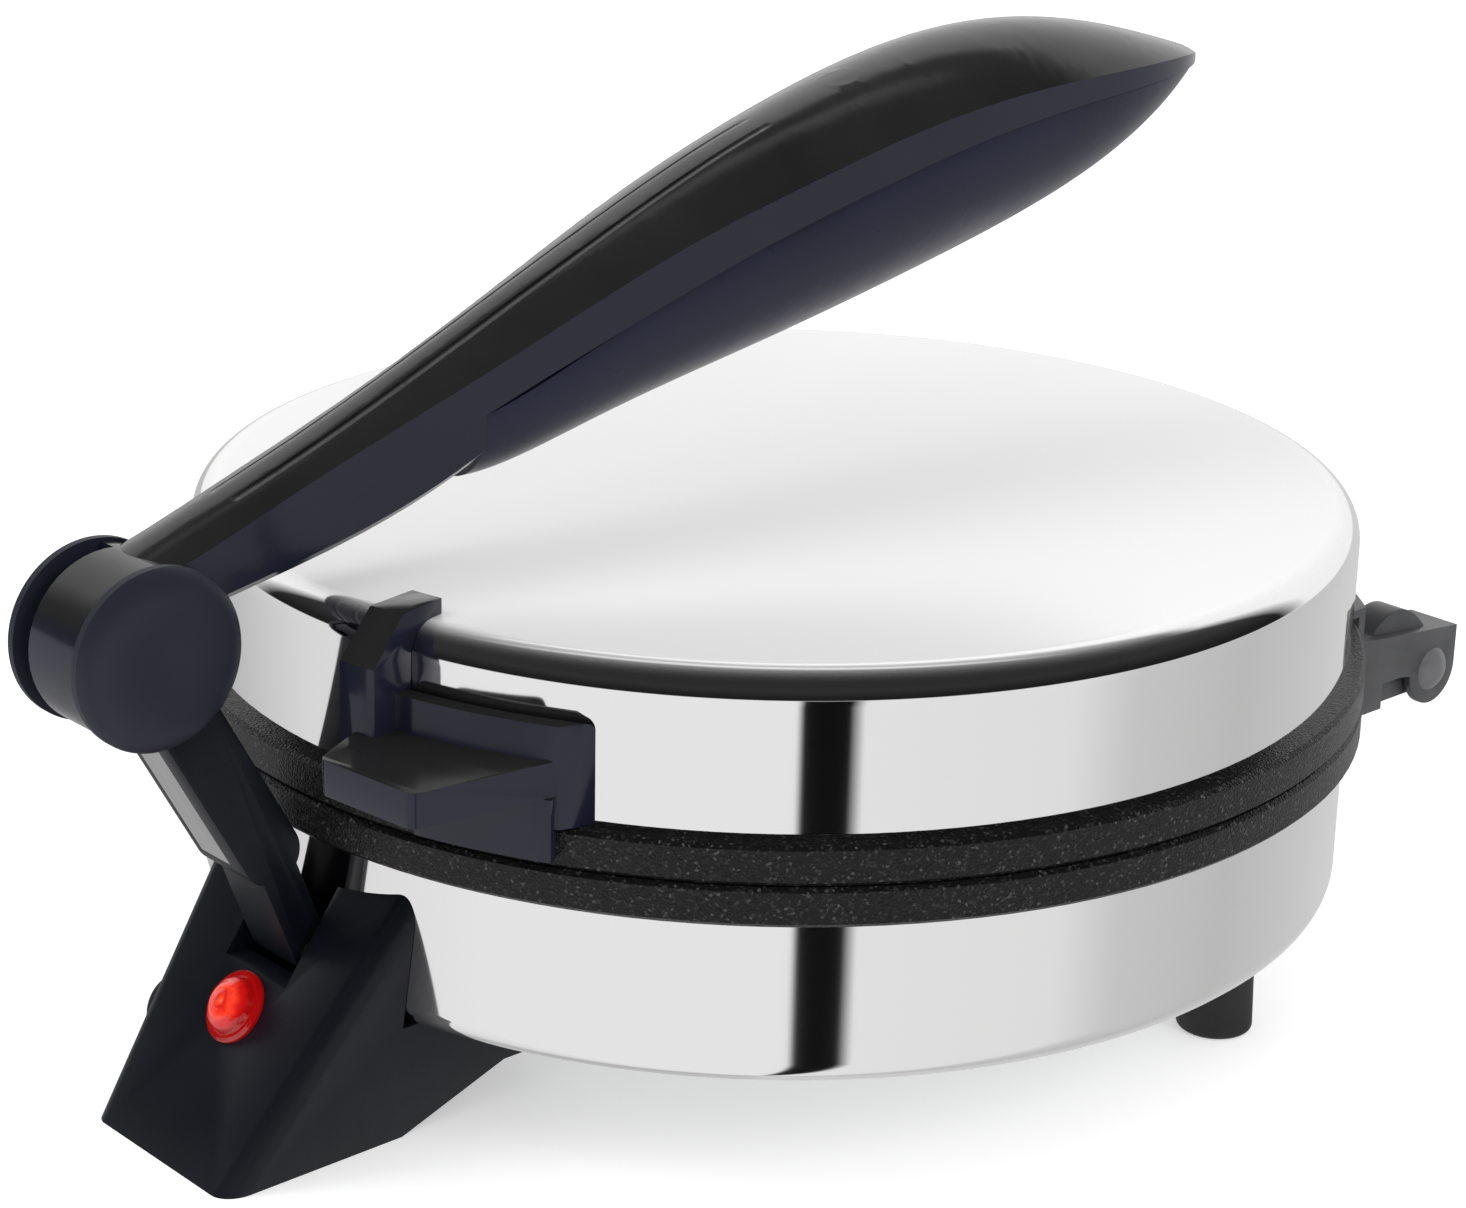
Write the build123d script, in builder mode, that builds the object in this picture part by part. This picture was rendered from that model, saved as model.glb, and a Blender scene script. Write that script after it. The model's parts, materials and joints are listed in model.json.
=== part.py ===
from build123d import *
import math
import os

# Electric roti maker: a round steel press with two hinged cooking plates, a front control block,
# a swinging link and a long press handle. Millimetres, table at z 0, front towards -Y.

# Round body, seen from above
rim_radius = 118.8
rim_ledge = 3.2
wall_radius = rim_radius - rim_ledge
sheet = 1.0
lip_width = 6.0
# Heights of the round body, from the seam between the two rims
seam_height = 64.0
rim_thickness = 7.5
rim_gap = 0.3
rim_edge = 1.6
base_depth = 40.0
base_edge = 5.0
lid_height = 38.0
lid_edge = 6.0
# Clearances and cuts
fit = 0.1
air = 0.3
running = 0.05
overrun = 2.0

# Cooking plates
plate_border = 12.0
surface_radius = rim_radius - plate_border
surface_recess = 1.2
plate_thickness = 6.0
skirt_width = 2.5
skirt_drop = 5.0
boss_radius = 4.5
boss_circle = 46.0
boss_count = 3

# Tube heaters and what clamps them
heater_circle = 70.0
heater_tube = 3.6
heater_bedding = 1.8
heater_angle = 320.0
heater_gap_angle = -90.0
heater_pin_radius = 1.4
heater_pin_length = 9.0
clamp_border = 30.0
clamp_radius = wall_radius - clamp_border
clamp_sheet = 1.5
clamp_hole = 14.0
thermostat_radius = 8.5
thermostat_height = 10.0
thermostat_tab = 4.0
fuse_radius = 2.4
fuse_length = 16.0

# Small screws
screw_radius = 1.6
screw_head = 3.0
screw_head_height = 1.8
screw_bite = 4.5
rim_screw_count = 4

# Base pan and feet
pan_border = 8.0
pan_flange = 22.0
pan_radius = wall_radius - pan_border
pan_opening = pan_radius - pan_flange
vent_circle = 62.0
vent_length = 26.0
vent_width = 4.0
vent_count = 8
pan_screw_inset = 15.0
pan_screw_circle = wall_radius - pan_screw_inset
pan_screw_count = 4
foot_radius = 7.6
foot_waist = 6.8
foot_stem = 3.0
foot_stem_height = 3.2
foot_inset = 18.6
foot_circle = wall_radius - foot_inset
foot_angle = 24.8
foot_recess = 1.2

# Front control block: side outline from body centre and seam, then its widths
block_toe_y = -150.0
block_top_y = -113.0
block_top_z = -13.5
block_step_y = -111.0
block_neck_y = -74.0
block_neck_drop = 15.0
block_heel_y = -88.0
block_half_top = 29.0
block_half_foot = 22.0
block_round = 4.0
block_wall = 2.6
block_slot_half = 9.5
block_slot_drop = 19.8
block_cover_sheet = 2.0
block_cover_lift = 0.6
lamp_z = -39.2
lamp_radius = 5.6
lamp_bezel = 6.9
lamp_bezel_height = 1.2
lamp_dome = 3.0
lamp_tube_radius = 4.0
lamp_tube_length = 11.0
gland_y = -128.0
gland_z = -50.0
gland_bore = 3.6
gland_radius = 5.2
gland_flange = 7.2
gland_flange_height = 1.8
gland_length = 6.0
neck_screw_x = 14.0
neck_screw_y = -92.0
terminal_length = 22.0
terminal_depth = 9.0
terminal_height = 10.0
terminal_count = 3
terminal_bore = 1.5

# Swinging link between block and handle
link_foot_y = -119.7
link_foot_z = -29.1
link_foot_eye = 3.8
link_bend_y = -127.7
link_bend_z = -7.7
pivot_y = -152.0
pivot_z = 36.2
link_half = 7.0
link_depth = 12.0
link_eye_top = 10.5
link_tang_outer = -9.0
link_tang_inner = -5.4
link_strip_width = 9.0
link_strip_depth = 2.0
link_strip_start = 1.0
foot_pin_radius = 2.0
foot_pin_reach = 12.0
pivot_pin_radius = 4.0

# Knob round the handle pivot
knob_radius = 16.5
knob_half = 11.5
knob_cap_sheet = 2.2
knob_cap_dome = 1.4
barrel_radius = 15.9

# Handle: stations along Y, each with half width, parting, edge and crown heights above the seam
handle_wall = 2.2
top_stations = [
    (-151.0, 8.6, 44.0, 49.6, 52.0),
    (-138.0, 8.8, 47.0, 53.6, 56.7),
    (-112.0, 9.0, 55.0, 63.2, 66.3),
    (-81.0, 10.2, 66.5, 74.3, 79.5),
    (-50.0, 13.2, 78.5, 87.0, 93.0),
    (-18.0, 16.6, 90.0, 98.0, 105.8),
    (14.0, 19.6, 99.2, 106.8, 115.5),
    (46.0, 21.4, 105.8, 112.0, 121.5),
    (76.0, 20.6, 108.7, 113.2, 120.8),
    (99.0, 15.0, 109.3, 112.6, 116.0),
    (112.5, 7.0, 109.0, 110.8, 112.2),
]
# The arm's underside and the lower cover's belly at the same stations
arm_belly = [39.5, 42.2, 47.4, 58.5]
cover_belly = [52.5, 57.5, 63.8, 70.3, 78.2, 88.6, 100.5, 107.4]
parting_gap = 0.3
belly_side_share = 0.8
belly_fall_share = 0.64
arm_chamfer = 1.5
arm_step = 0.4
bar_half = 5.0
bar_depth = 5.0
bar_start_y = -128.0
bar_start_z = 49.5
bar_end_y = 40.0
bar_end_z = 104.0
barrel_slot_near = -15.0
barrel_slot_far = -96.0
handle_screw_stations = (-50.0, 14.0)
handle_screw_grip = 9.0
handle_screw_reach = 8.0
handle_boss_radius = 4.2

# Grip on the lid, as angles round the body
grip_start = -79.5
grip_post_arc = 3.6
grip_wing_corner = -60.4
grip_end = -58.0
grip_plate = 4.4
grip_post_plate = 10.0
grip_wing_top_z = 27.0
grip_wing_round = 1.5
grip_post_top_z = 41.0
grip_post_hook = 107.0
grip_post_round = 8.0
grip_shelf_z = 20.5
grip_shelf_thickness = 6.5
grip_shelf_corners = [(138.4, -76.6), (143.0, -67.5), (118.2, -60.2)]
grip_shelf_round = 2.5
grip_apron_foot_z = 2.4
grip_apron_start = -73.5
grip_apron_end = -60.8
grip_apron_plate = 2.6
grip_screw_z = 12.5
grip_screw_angles = (-77.7, -62.5)
grip_screw_depth = 3.0

# Twin rear hinges: channel on the lid, tongue on the base, one rivet each
hinge_x = 72.0
hinge_half = 6.0
hinge_sheet = 1.5
hinge_y = 117.4
hinge_z = -9.4
hinge_nose = 7.5
hinge_top_z = 2.4
hinge_top_end_z = -1.1
hinge_top_y = 88.4
hinge_leg_y = 94.6
hinge_leg_width = 6.0
hinge_leg_z = -14.3
hinge_notch_width = 5.6
hinge_notch_top_z = -8.8
hinge_bridge_z = 9.8
hinge_boss_half = 3.4
hinge_boss_start = 98.5
hinge_boss_peak = 106.0
hinge_boss_end = 117.5
hinge_boss_peak_z = 5.2
hinge_pad_top_z = 22.0
tongue_half = 3.6
tongue_eye = 5.5
tongue_top_z = -8.2
tongue_under_z = -14.2
tongue_foot_z = -31.0
hinge_swing_air = 0.9
rivet_radius = 3.0
rivet_head = 4.6
rivet_head_height = 2.0

# The box of the whole machine is centred on the origin from front to back
knob_reach = knob_radius - pivot_y
hinge_reach = hinge_y + hinge_nose
body_y = (knob_reach - hinge_reach) / 2

parts_folder = "parts"
os.makedirs(parts_folder, exist_ok=True)


def save(builder, name):
    """Label one finished piece and write its file."""
    builder.part.label = name
    export_step(builder.part, f"{parts_folder}/{name}.step")


def level(z):
    """Level plane at a height from the seam, centred on the round body."""
    return Plane((0, body_y, seam_height + z))


def side(x):
    """Upright plane across the machine: local x runs to the rear, local y runs up from the seam."""
    return Plane(origin=(x, body_y, seam_height), x_dir=(0, 1, 0), z_dir=(1, 0, 0))


def front(y):
    """Upright plane facing the front: local x is to the right, local y runs up from the seam."""
    return Plane(origin=(0, body_y + y, seam_height), x_dir=(1, 0, 0), z_dir=(0, -1, 0))


def radial(angle):
    """Upright plane out of the body's axis: local x is the radius, local y runs up from the seam."""
    turn = math.radians(angle)
    return Plane(origin=(0, body_y, seam_height), x_dir=(math.cos(turn), math.sin(turn), 0),
                 z_dir=(math.sin(turn), -math.cos(turn), 0))


def polar(radius, angle):
    """Plan coordinates of a point at a radius and an angle from the body's axis."""
    return (radius * math.cos(math.radians(angle)), radius * math.sin(math.radians(angle)))


def outward(angle, radius, z):
    """Plane that faces straight out from the body's axis at a radius and a height from the seam."""
    x, y = polar(1, angle)
    return Plane(origin=(x * radius, body_y + y * radius, seam_height + z),
                 x_dir=(y, -x, 0), z_dir=(x, y, 0))


def spot(x, y, z):
    """A point given from the body centre and the seam."""
    return Vector(x, body_y + y, seam_height + z)


body_axis = Axis((0, body_y, 0), (0, 0, 1))
table_z = -seam_height
lower_rim_z = -rim_thickness
upper_rim_z = rim_gap + rim_thickness


# Steel shell of the base: a cup with an opening for the pan and a lip that carries the lower plate
with BuildPart() as base_shell:
    with BuildSketch(level(-base_depth)):
        Circle(wall_radius)
    extrude(amount=base_depth + lower_rim_z)
    fillet(base_shell.edges().group_by(Axis.Z)[0], base_edge)
    offset(amount=-sheet, openings=base_shell.faces().sort_by(Axis.Z)[-1])
    with BuildSketch(level(lower_rim_z - sheet)):
        Circle(wall_radius - sheet / 2)
        Circle(wall_radius - sheet - lip_width, mode=Mode.SUBTRACT)
    extrude(amount=sheet)
    with BuildSketch(level(-base_depth)):
        Circle(pan_opening)
    extrude(amount=sheet, mode=Mode.SUBTRACT)
    with Locations(level(-base_depth)):
        with PolarLocations(pan_screw_circle, pan_screw_count, start_angle=180 / pan_screw_count):
            Cylinder(screw_radius + fit, overrun * 2, mode=Mode.SUBTRACT)
        for angle in (foot_angle, 180 - foot_angle):
            with PolarLocations(foot_circle, 1, start_angle=angle):
                Cylinder(foot_stem + fit, overrun * 2, mode=Mode.SUBTRACT)
        with Locations((neck_screw_x, neck_screw_y), (-neck_screw_x, neck_screw_y)):
            Cylinder(screw_radius + fit, overrun * 2, mode=Mode.SUBTRACT)
    with Locations(level(lower_rim_z)):
        with PolarLocations(wall_radius - sheet - lip_width / 2, rim_screw_count):
            Cylinder(screw_radius + fit, sheet * 2 + overrun, mode=Mode.SUBTRACT)
save(base_shell, "base_shell")

# Steel shell of the lid: the same sheet, deeper shoulder, closed top
with BuildPart() as lid_shell:
    with BuildSketch(level(upper_rim_z)):
        Circle(wall_radius)
    extrude(amount=lid_height - upper_rim_z)
    fillet(lid_shell.edges().group_by(Axis.Z)[-1], lid_edge)
    offset(amount=-sheet, openings=lid_shell.faces().sort_by(Axis.Z)[0])
    with BuildSketch(level(upper_rim_z)):
        Circle(wall_radius - sheet / 2)
        Circle(wall_radius - sheet - lip_width, mode=Mode.SUBTRACT)
    extrude(amount=sheet)
    with Locations(level(upper_rim_z)):
        with PolarLocations(wall_radius - sheet - lip_width / 2, rim_screw_count):
            Cylinder(screw_radius + fit, sheet * 2 + overrun, mode=Mode.SUBTRACT)
    for angle in grip_screw_angles:
        with BuildSketch(outward(angle, wall_radius - sheet * 2, grip_screw_z)):
            Circle(screw_radius + fit)
        extrude(amount=sheet * 3, mode=Mode.SUBTRACT)
save(lid_shell, "lid_shell")


def cooking_plate(up):
    """Cast plate with a rim, a sunk cooking face, a locating skirt, heater groove and bosses.

    up is 1 for the lower plate, whose face looks up, and -1 for the upper one.
    """
    face_z = 0 if up > 0 else rim_gap
    back_z = face_z - up * rim_thickness
    floor_z = face_z - up * surface_recess
    under_z = floor_z - up * plate_thickness
    boss_z = under_z - up * (heater_bedding + heater_tube + fit)
    skirt_radius = wall_radius - sheet - lip_width - fit
    with BuildPart() as plate:
        with BuildSketch(level(face_z)):
            Circle(rim_radius)
        extrude(amount=-up * rim_thickness)
        chamfer(plate.edges(), rim_edge / 2)
        with BuildSketch(level(face_z)):
            Circle(surface_radius)
        extrude(amount=-up * surface_recess, mode=Mode.SUBTRACT)
        with BuildSketch(level(back_z)):
            Circle(skirt_radius - skirt_width)
        extrude(amount=up * (rim_thickness - surface_recess - plate_thickness), mode=Mode.SUBTRACT)
        with BuildSketch(level(back_z)):
            Circle(skirt_radius)
            Circle(skirt_radius - skirt_width, mode=Mode.SUBTRACT)
        extrude(amount=-up * skirt_drop)
        with BuildSketch(level(under_z)):
            with PolarLocations(boss_circle, boss_count):
                Circle(boss_radius)
        extrude(amount=boss_z - under_z)
        with BuildSketch(radial(0)):
            with Locations((heater_circle, under_z - up * heater_bedding)):
                Circle(heater_tube + fit * 2)
        revolve(axis=body_axis, mode=Mode.SUBTRACT)
        with Locations(level(boss_z)):
            with PolarLocations(boss_circle, boss_count):
                Cylinder(screw_radius, screw_bite * 2, mode=Mode.SUBTRACT)
        with Locations(level(back_z)):
            with PolarLocations(wall_radius - sheet - lip_width / 2, rim_screw_count):
                Cylinder(screw_radius, screw_bite * 2, mode=Mode.SUBTRACT)
    return plate, under_z, boss_z, back_z


def tube_heater(up, under_z):
    """Round heating tube on its circle, with a cold pin at each end that turns away from the plate."""
    tube_z = under_z - up * heater_bedding
    half_open = (360 - heater_angle) / 2
    with BuildPart() as heater:
        with BuildSketch(radial(heater_gap_angle + half_open)):
            with Locations((heater_circle, tube_z)):
                Circle(heater_tube)
        revolve(axis=body_axis, revolution_arc=heater_angle)
        for angle in (heater_gap_angle - half_open, heater_gap_angle + half_open):
            turn = math.radians(angle)
            inset = heater_pin_radius * 2 / heater_circle * (1 if angle < heater_gap_angle else -1)
            place = spot(heater_circle * math.cos(turn - inset), heater_circle * math.sin(turn - inset),
                         tube_z - up * heater_pin_length / 2)
            with Locations(place):
                Cylinder(heater_pin_radius, heater_pin_length)
    return heater


def heater_clamp(up, boss_z):
    """Pressed disc that holds the tube to the plate, with a hole for the thermostat."""
    half_open = (360 - heater_angle) / 2
    with BuildPart() as clamp:
        with BuildSketch(level(boss_z)):
            Circle(clamp_radius)
            Circle(clamp_hole, mode=Mode.SUBTRACT)
            with PolarLocations(boss_circle, boss_count):
                Circle(screw_radius + fit, mode=Mode.SUBTRACT)
            for angle in (heater_gap_angle - half_open, heater_gap_angle + half_open):
                with PolarLocations(heater_circle, 1, start_angle=angle):
                    Circle(heater_tube * 2, mode=Mode.SUBTRACT)
        extrude(amount=-up * clamp_sheet)
    return clamp


def clamp_screws(up, boss_z):
    """The screws that hold the clamp disc to its bosses."""
    seat_z = boss_z - up * clamp_sheet
    with BuildPart() as screws:
        with BuildSketch(level(seat_z)):
            with PolarLocations(boss_circle, boss_count):
                Circle(screw_head)
        extrude(amount=-up * screw_head_height)
        with BuildSketch(level(seat_z)):
            with PolarLocations(boss_circle, boss_count):
                Circle(screw_radius - fit)
        extrude(amount=up * (clamp_sheet + screw_bite - fit))
    return screws


def rim_screws(up, back_z):
    """The screws that hold the shell's lip to the plate's rim."""
    seat_z = back_z - up * sheet
    with BuildPart() as screws:
        with BuildSketch(level(seat_z)):
            with PolarLocations(wall_radius - sheet - lip_width / 2, rim_screw_count):
                Circle(screw_head - fit)
        extrude(amount=-up * screw_head_height)
        with BuildSketch(level(seat_z)):
            with PolarLocations(wall_radius - sheet - lip_width / 2, rim_screw_count):
                Circle(screw_radius - fit)
        extrude(amount=up * (sheet + screw_bite - fit))
    return screws


# The two plates with their heaters, clamps and screws
plate_backs = {}
for plate_name, plate_up in (("lower", 1), ("upper", -1)):
    plate_part, plate_under_z, plate_boss_z, plate_back_z = cooking_plate(plate_up)
    plate_backs[plate_name] = (plate_under_z, plate_boss_z)
    save(plate_part, f"{plate_name}_cooking_plate")
    save(tube_heater(plate_up, plate_under_z), f"{plate_name}_heating_tube")
    save(heater_clamp(plate_up, plate_boss_z), f"{plate_name}_heater_clamp")
    save(clamp_screws(plate_up, plate_boss_z), f"{plate_name}_clamp_screws")
    save(rim_screws(plate_up, plate_back_z), f"{plate_name}_rim_screws")
lower_under_z, lower_boss_z = plate_backs["lower"]
upper_under_z, upper_boss_z = plate_backs["upper"]

# Thermostat against the back of the lower plate, with its two tabs
with BuildPart() as thermostat:
    with BuildSketch(level(lower_under_z)):
        Circle(thermostat_radius)
    extrude(amount=-thermostat_height)
    with BuildSketch(level(lower_under_z - thermostat_height)):
        with GridLocations(thermostat_radius, 0, 2, 1):
            Rectangle(sheet, thermostat_tab)
    extrude(amount=-thermostat_tab)
save(thermostat, "thermostat")

# Thermal fuse lying under the lower clamp disc
with BuildPart() as thermal_fuse:
    with BuildSketch(Plane(spot(-fuse_length / 2, -boss_circle / 2 - fuse_length / 2,
                                lower_boss_z - clamp_sheet - fuse_radius), x_dir=(0, 1, 0), z_dir=(1, 0, 0))):
        Circle(fuse_radius)
    extrude(amount=fuse_length)
save(thermal_fuse, "thermal_fuse")

# Base pan: dark sheet disc that lies inside the shell, with vents
pan_z = -base_depth + sheet
with BuildPart() as base_pan:
    with BuildSketch(level(pan_z)):
        Circle(pan_radius)
        with PolarLocations(vent_circle, vent_count):
            SlotOverall(vent_length, vent_width, mode=Mode.SUBTRACT)
        with PolarLocations(pan_screw_circle, pan_screw_count, start_angle=180 / pan_screw_count):
            Circle(screw_radius + fit, mode=Mode.SUBTRACT)
        for angle in (foot_angle, 180 - foot_angle):
            with PolarLocations(foot_circle, 1, start_angle=angle):
                Circle(foot_stem + fit, mode=Mode.SUBTRACT)
        with Locations((neck_screw_x, neck_screw_y), (-neck_screw_x, neck_screw_y)):
            Circle(screw_radius + fit, mode=Mode.SUBTRACT)
    extrude(amount=sheet)
save(base_pan, "base_pan")

# Screws of the pan, from below
with BuildPart() as pan_screws:
    with BuildSketch(level(-base_depth)):
        with PolarLocations(pan_screw_circle, pan_screw_count, start_angle=180 / pan_screw_count):
            Circle(screw_head)
    extrude(amount=-screw_head_height)
    with BuildSketch(level(-base_depth)):
        with PolarLocations(pan_screw_circle, pan_screw_count, start_angle=180 / pan_screw_count):
            Circle(screw_radius)
    extrude(amount=screw_bite)
save(pan_screws, "pan_screws")

# Rubber feet with a stem through shell and pan
foot_height = seam_height - base_depth
for foot_name, angle in (("right_foot", foot_angle), ("left_foot", 180 - foot_angle)):
    turn = math.radians(angle)
    foot_x = foot_circle * math.cos(turn)
    foot_y = foot_circle * math.sin(turn)
    with BuildPart() as foot:
        with BuildSketch(level(-base_depth)):
            with Locations((foot_x, foot_y)):
                Circle(foot_waist)
        with BuildSketch(level(-base_depth - foot_height)):
            with Locations((foot_x, foot_y)):
                Circle(foot_radius)
        loft()
        fillet(foot.edges().group_by(Axis.Z)[0], foot_recess)
        with BuildSketch(level(-base_depth)):
            with Locations((foot_x, foot_y)):
                Circle(foot_stem)
        extrude(amount=foot_stem_height)
    save(foot, foot_name)


def block_form(inset):
    """The control block's solid outline, drawn in by an inset on every wall but the underside."""
    neck_z = -base_depth
    with BuildPart() as form:
        with BuildSketch(side(-block_half_top * 2)):
            with BuildLine():
                Polyline(
                    (block_toe_y + inset * 2, table_z),
                    (block_top_y + inset, block_top_z - inset),
                    (block_step_y + wall_radius / 2, block_top_z - inset),
                    (block_step_y + wall_radius / 2, neck_z - inset),
                    (block_neck_y - inset, neck_z - inset),
                    (block_neck_y - inset, neck_z - block_neck_drop + inset),
                    (block_heel_y - inset, neck_z - block_neck_drop + inset),
                    (block_step_y - inset, table_z),
                    close=True,
                )
            make_face()
        extrude(amount=block_half_top * 4)
        with BuildSketch(front(block_toe_y * 2)):
            with BuildLine():
                Polyline(
                    (-block_half_foot + inset, table_z),
                    (block_half_foot - inset, table_z),
                    (block_half_top - inset, block_top_z),
                    (block_half_top - inset, 0),
                    (-block_half_top + inset, 0),
                    (-block_half_top + inset, block_top_z),
                    close=True,
                )
            make_face()
        extrude(amount=block_toe_y * 3, mode=Mode.INTERSECT)
        if inset == 0:
            upright = form.edges().filter_by(lambda e: e.center().Y < body_y + block_top_y)
            fillet(upright.filter_by(lambda e: e.center().Z > overrun), block_round)
    return form


slope_rise = block_top_z - table_z
slope_run = block_top_y - block_toe_y
slope_length = math.hypot(slope_rise, slope_run)
lamp_y = block_toe_y + (lamp_z - table_z) * slope_run / slope_rise
lamp_plane = Plane(origin=spot(0, lamp_y, lamp_z), x_dir=(1, 0, 0),
                   z_dir=(0, -slope_rise / slope_length, slope_run / slope_length))
taper_angle = math.atan2(block_half_top - block_half_foot, slope_rise)
gland_x = -block_half_foot - (gland_z - table_z) * math.tan(taper_angle)
gland_plane = Plane(origin=spot(gland_x - air / 2, gland_y, gland_z), x_dir=(0, 1, 0),
                    z_dir=(-math.cos(taper_angle), 0, -math.sin(taper_angle)))

# Control block housing: a hollow wedge that wraps the body's wall and reaches under it
block_outer = block_form(0)
block_inner = block_form(block_wall)
web_height = block_slot_drop + block_wall
with BuildPart() as slot_webs:
    with BuildSketch(level(block_top_z - web_height)):
        with GridLocations(block_slot_half * 2 + block_wall, 0, 2, 1):
            Rectangle(block_wall, -block_toe_y * 2)
    extrude(amount=web_height)
    add(block_outer.part, mode=Mode.INTERSECT)
    with BuildSketch(level(-base_depth)):
        Circle(wall_radius + fit)
    extrude(amount=base_depth, mode=Mode.SUBTRACT)
with BuildPart() as control_block:
    add(block_outer.part)
    add(block_inner.part, mode=Mode.SUBTRACT)
    with BuildSketch(level(-base_depth)):
        Circle(wall_radius + fit)
    extrude(amount=base_depth, mode=Mode.SUBTRACT)
    with BuildSketch(front(block_toe_y * 2)):
        with Locations((0, block_top_z)):
            Rectangle(block_slot_half * 2, block_slot_drop * 2)
    extrude(amount=block_toe_y * 2 + wall_radius - block_wall, mode=Mode.SUBTRACT)
    add(slot_webs.part)
    with BuildSketch(side(-block_slot_half - block_wall)):
        with Locations((link_foot_y, link_foot_z)):
            Circle(foot_pin_radius)
    extrude(amount=(block_slot_half + block_wall) * 2, mode=Mode.SUBTRACT)
    with Locations(level(-base_depth - block_wall)):
        with Locations((neck_screw_x, neck_screw_y), (-neck_screw_x, neck_screw_y)):
            Cylinder(screw_radius, block_wall * 3, mode=Mode.SUBTRACT)
    with BuildSketch(lamp_plane):
        Circle(lamp_radius + fit)
    extrude(amount=-block_wall * 2, both=True, mode=Mode.SUBTRACT)
    with BuildSketch(gland_plane):
        Circle(gland_radius)
    extrude(amount=-block_wall * 2, both=True, mode=Mode.SUBTRACT)
save(control_block, "control_block")

# Snap-in cover that closes the control block from below
with BuildPart() as block_cover:
    add(block_form(block_wall + fit).part)
    with Locations(level(table_z + block_cover_lift + block_cover_sheet / 2)):
        Box(block_half_top * 4, -block_toe_y * 4, block_cover_sheet, mode=Mode.INTERSECT)
save(block_cover, "block_cover")

# Indicator: red lens with a bezel outside, a barrel through the wall and a lamp behind it
lens_barrel = block_wall * 3
lamp_dome_radius = lamp_bezel - lamp_bezel_height
dome_middle = (lamp_dome_radius * math.sin(math.radians(45)),
               lamp_bezel_height + lamp_dome * math.sin(math.radians(45)))
with BuildPart() as indicator_lens:
    with BuildSketch(Plane(lamp_plane.origin, x_dir=(1, 0, 0),
                           z_dir=Vector(1, 0, 0).cross(lamp_plane.z_dir))):
        with BuildLine():
            Polyline(
                (lamp_dome_radius, lamp_bezel_height),
                (lamp_bezel - lamp_bezel_height / 2, lamp_bezel_height),
                (lamp_bezel, lamp_bezel_height / 2),
                (lamp_bezel, 0),
                (lamp_radius, 0),
                (lamp_radius, -lens_barrel),
                (0, -lens_barrel),
                (0, lamp_bezel_height + lamp_dome),
            )
            ThreePointArc((0, lamp_bezel_height + lamp_dome), dome_middle,
                          (lamp_dome_radius, lamp_bezel_height))
        make_face()
    revolve(axis=Axis(lamp_plane.origin, lamp_plane.z_dir))
save(indicator_lens, "indicator_lens")

with BuildPart() as indicator_lamp:
    with BuildSketch(lamp_plane.offset(-lens_barrel)):
        Circle(lamp_tube_radius)
    extrude(amount=-lamp_tube_length)
    fillet(indicator_lamp.edges().group_by(Axis(lamp_plane.origin, lamp_plane.z_dir))[0],
           lamp_tube_radius / 2)
save(indicator_lamp, "indicator_lamp")

# Cord gland: an empty bush in the block's left wall
with BuildPart() as cord_gland:
    with BuildSketch(gland_plane):
        Circle(gland_flange)
    extrude(amount=gland_flange_height)
    fillet(cord_gland.edges().sort_by(Axis(gland_plane.origin, gland_plane.z_dir))[-1],
           gland_flange_height / 2)
    with BuildSketch(gland_plane):
        Circle(gland_radius - fit)
    extrude(amount=-gland_length)
    with BuildSketch(gland_plane):
        Circle(gland_bore)
    extrude(amount=gland_length * 2, both=True, mode=Mode.SUBTRACT)
save(cord_gland, "cord_gland")

# Terminal block on the cover, with its wire holes
terminal_z = table_z + block_cover_lift + block_cover_sheet
with BuildPart() as terminal_block:
    with BuildSketch(level(terminal_z)):
        with Locations((0, gland_y)):
            Rectangle(terminal_length, terminal_depth)
    extrude(amount=terminal_height)
    with BuildSketch(front(gland_y)):
        with Locations((0, terminal_z + terminal_height / 2)):
            with GridLocations(terminal_length / terminal_count, 0, terminal_count, 1):
                Circle(terminal_bore)
    extrude(amount=terminal_depth, both=True, mode=Mode.SUBTRACT)
save(terminal_block, "terminal_block")

# Screws that hold the block to the pan and shell
with BuildPart() as block_screws:
    with BuildSketch(level(pan_z + sheet)):
        with Locations((neck_screw_x, neck_screw_y), (-neck_screw_x, neck_screw_y)):
            Circle(screw_head)
    extrude(amount=screw_head_height)
    with BuildSketch(level(pan_z + sheet)):
        with Locations((neck_screw_x, neck_screw_y), (-neck_screw_x, neck_screw_y)):
            Circle(screw_radius - fit)
    extrude(amount=-sheet * 2 - block_wall)
save(block_screws, "block_screws")

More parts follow.
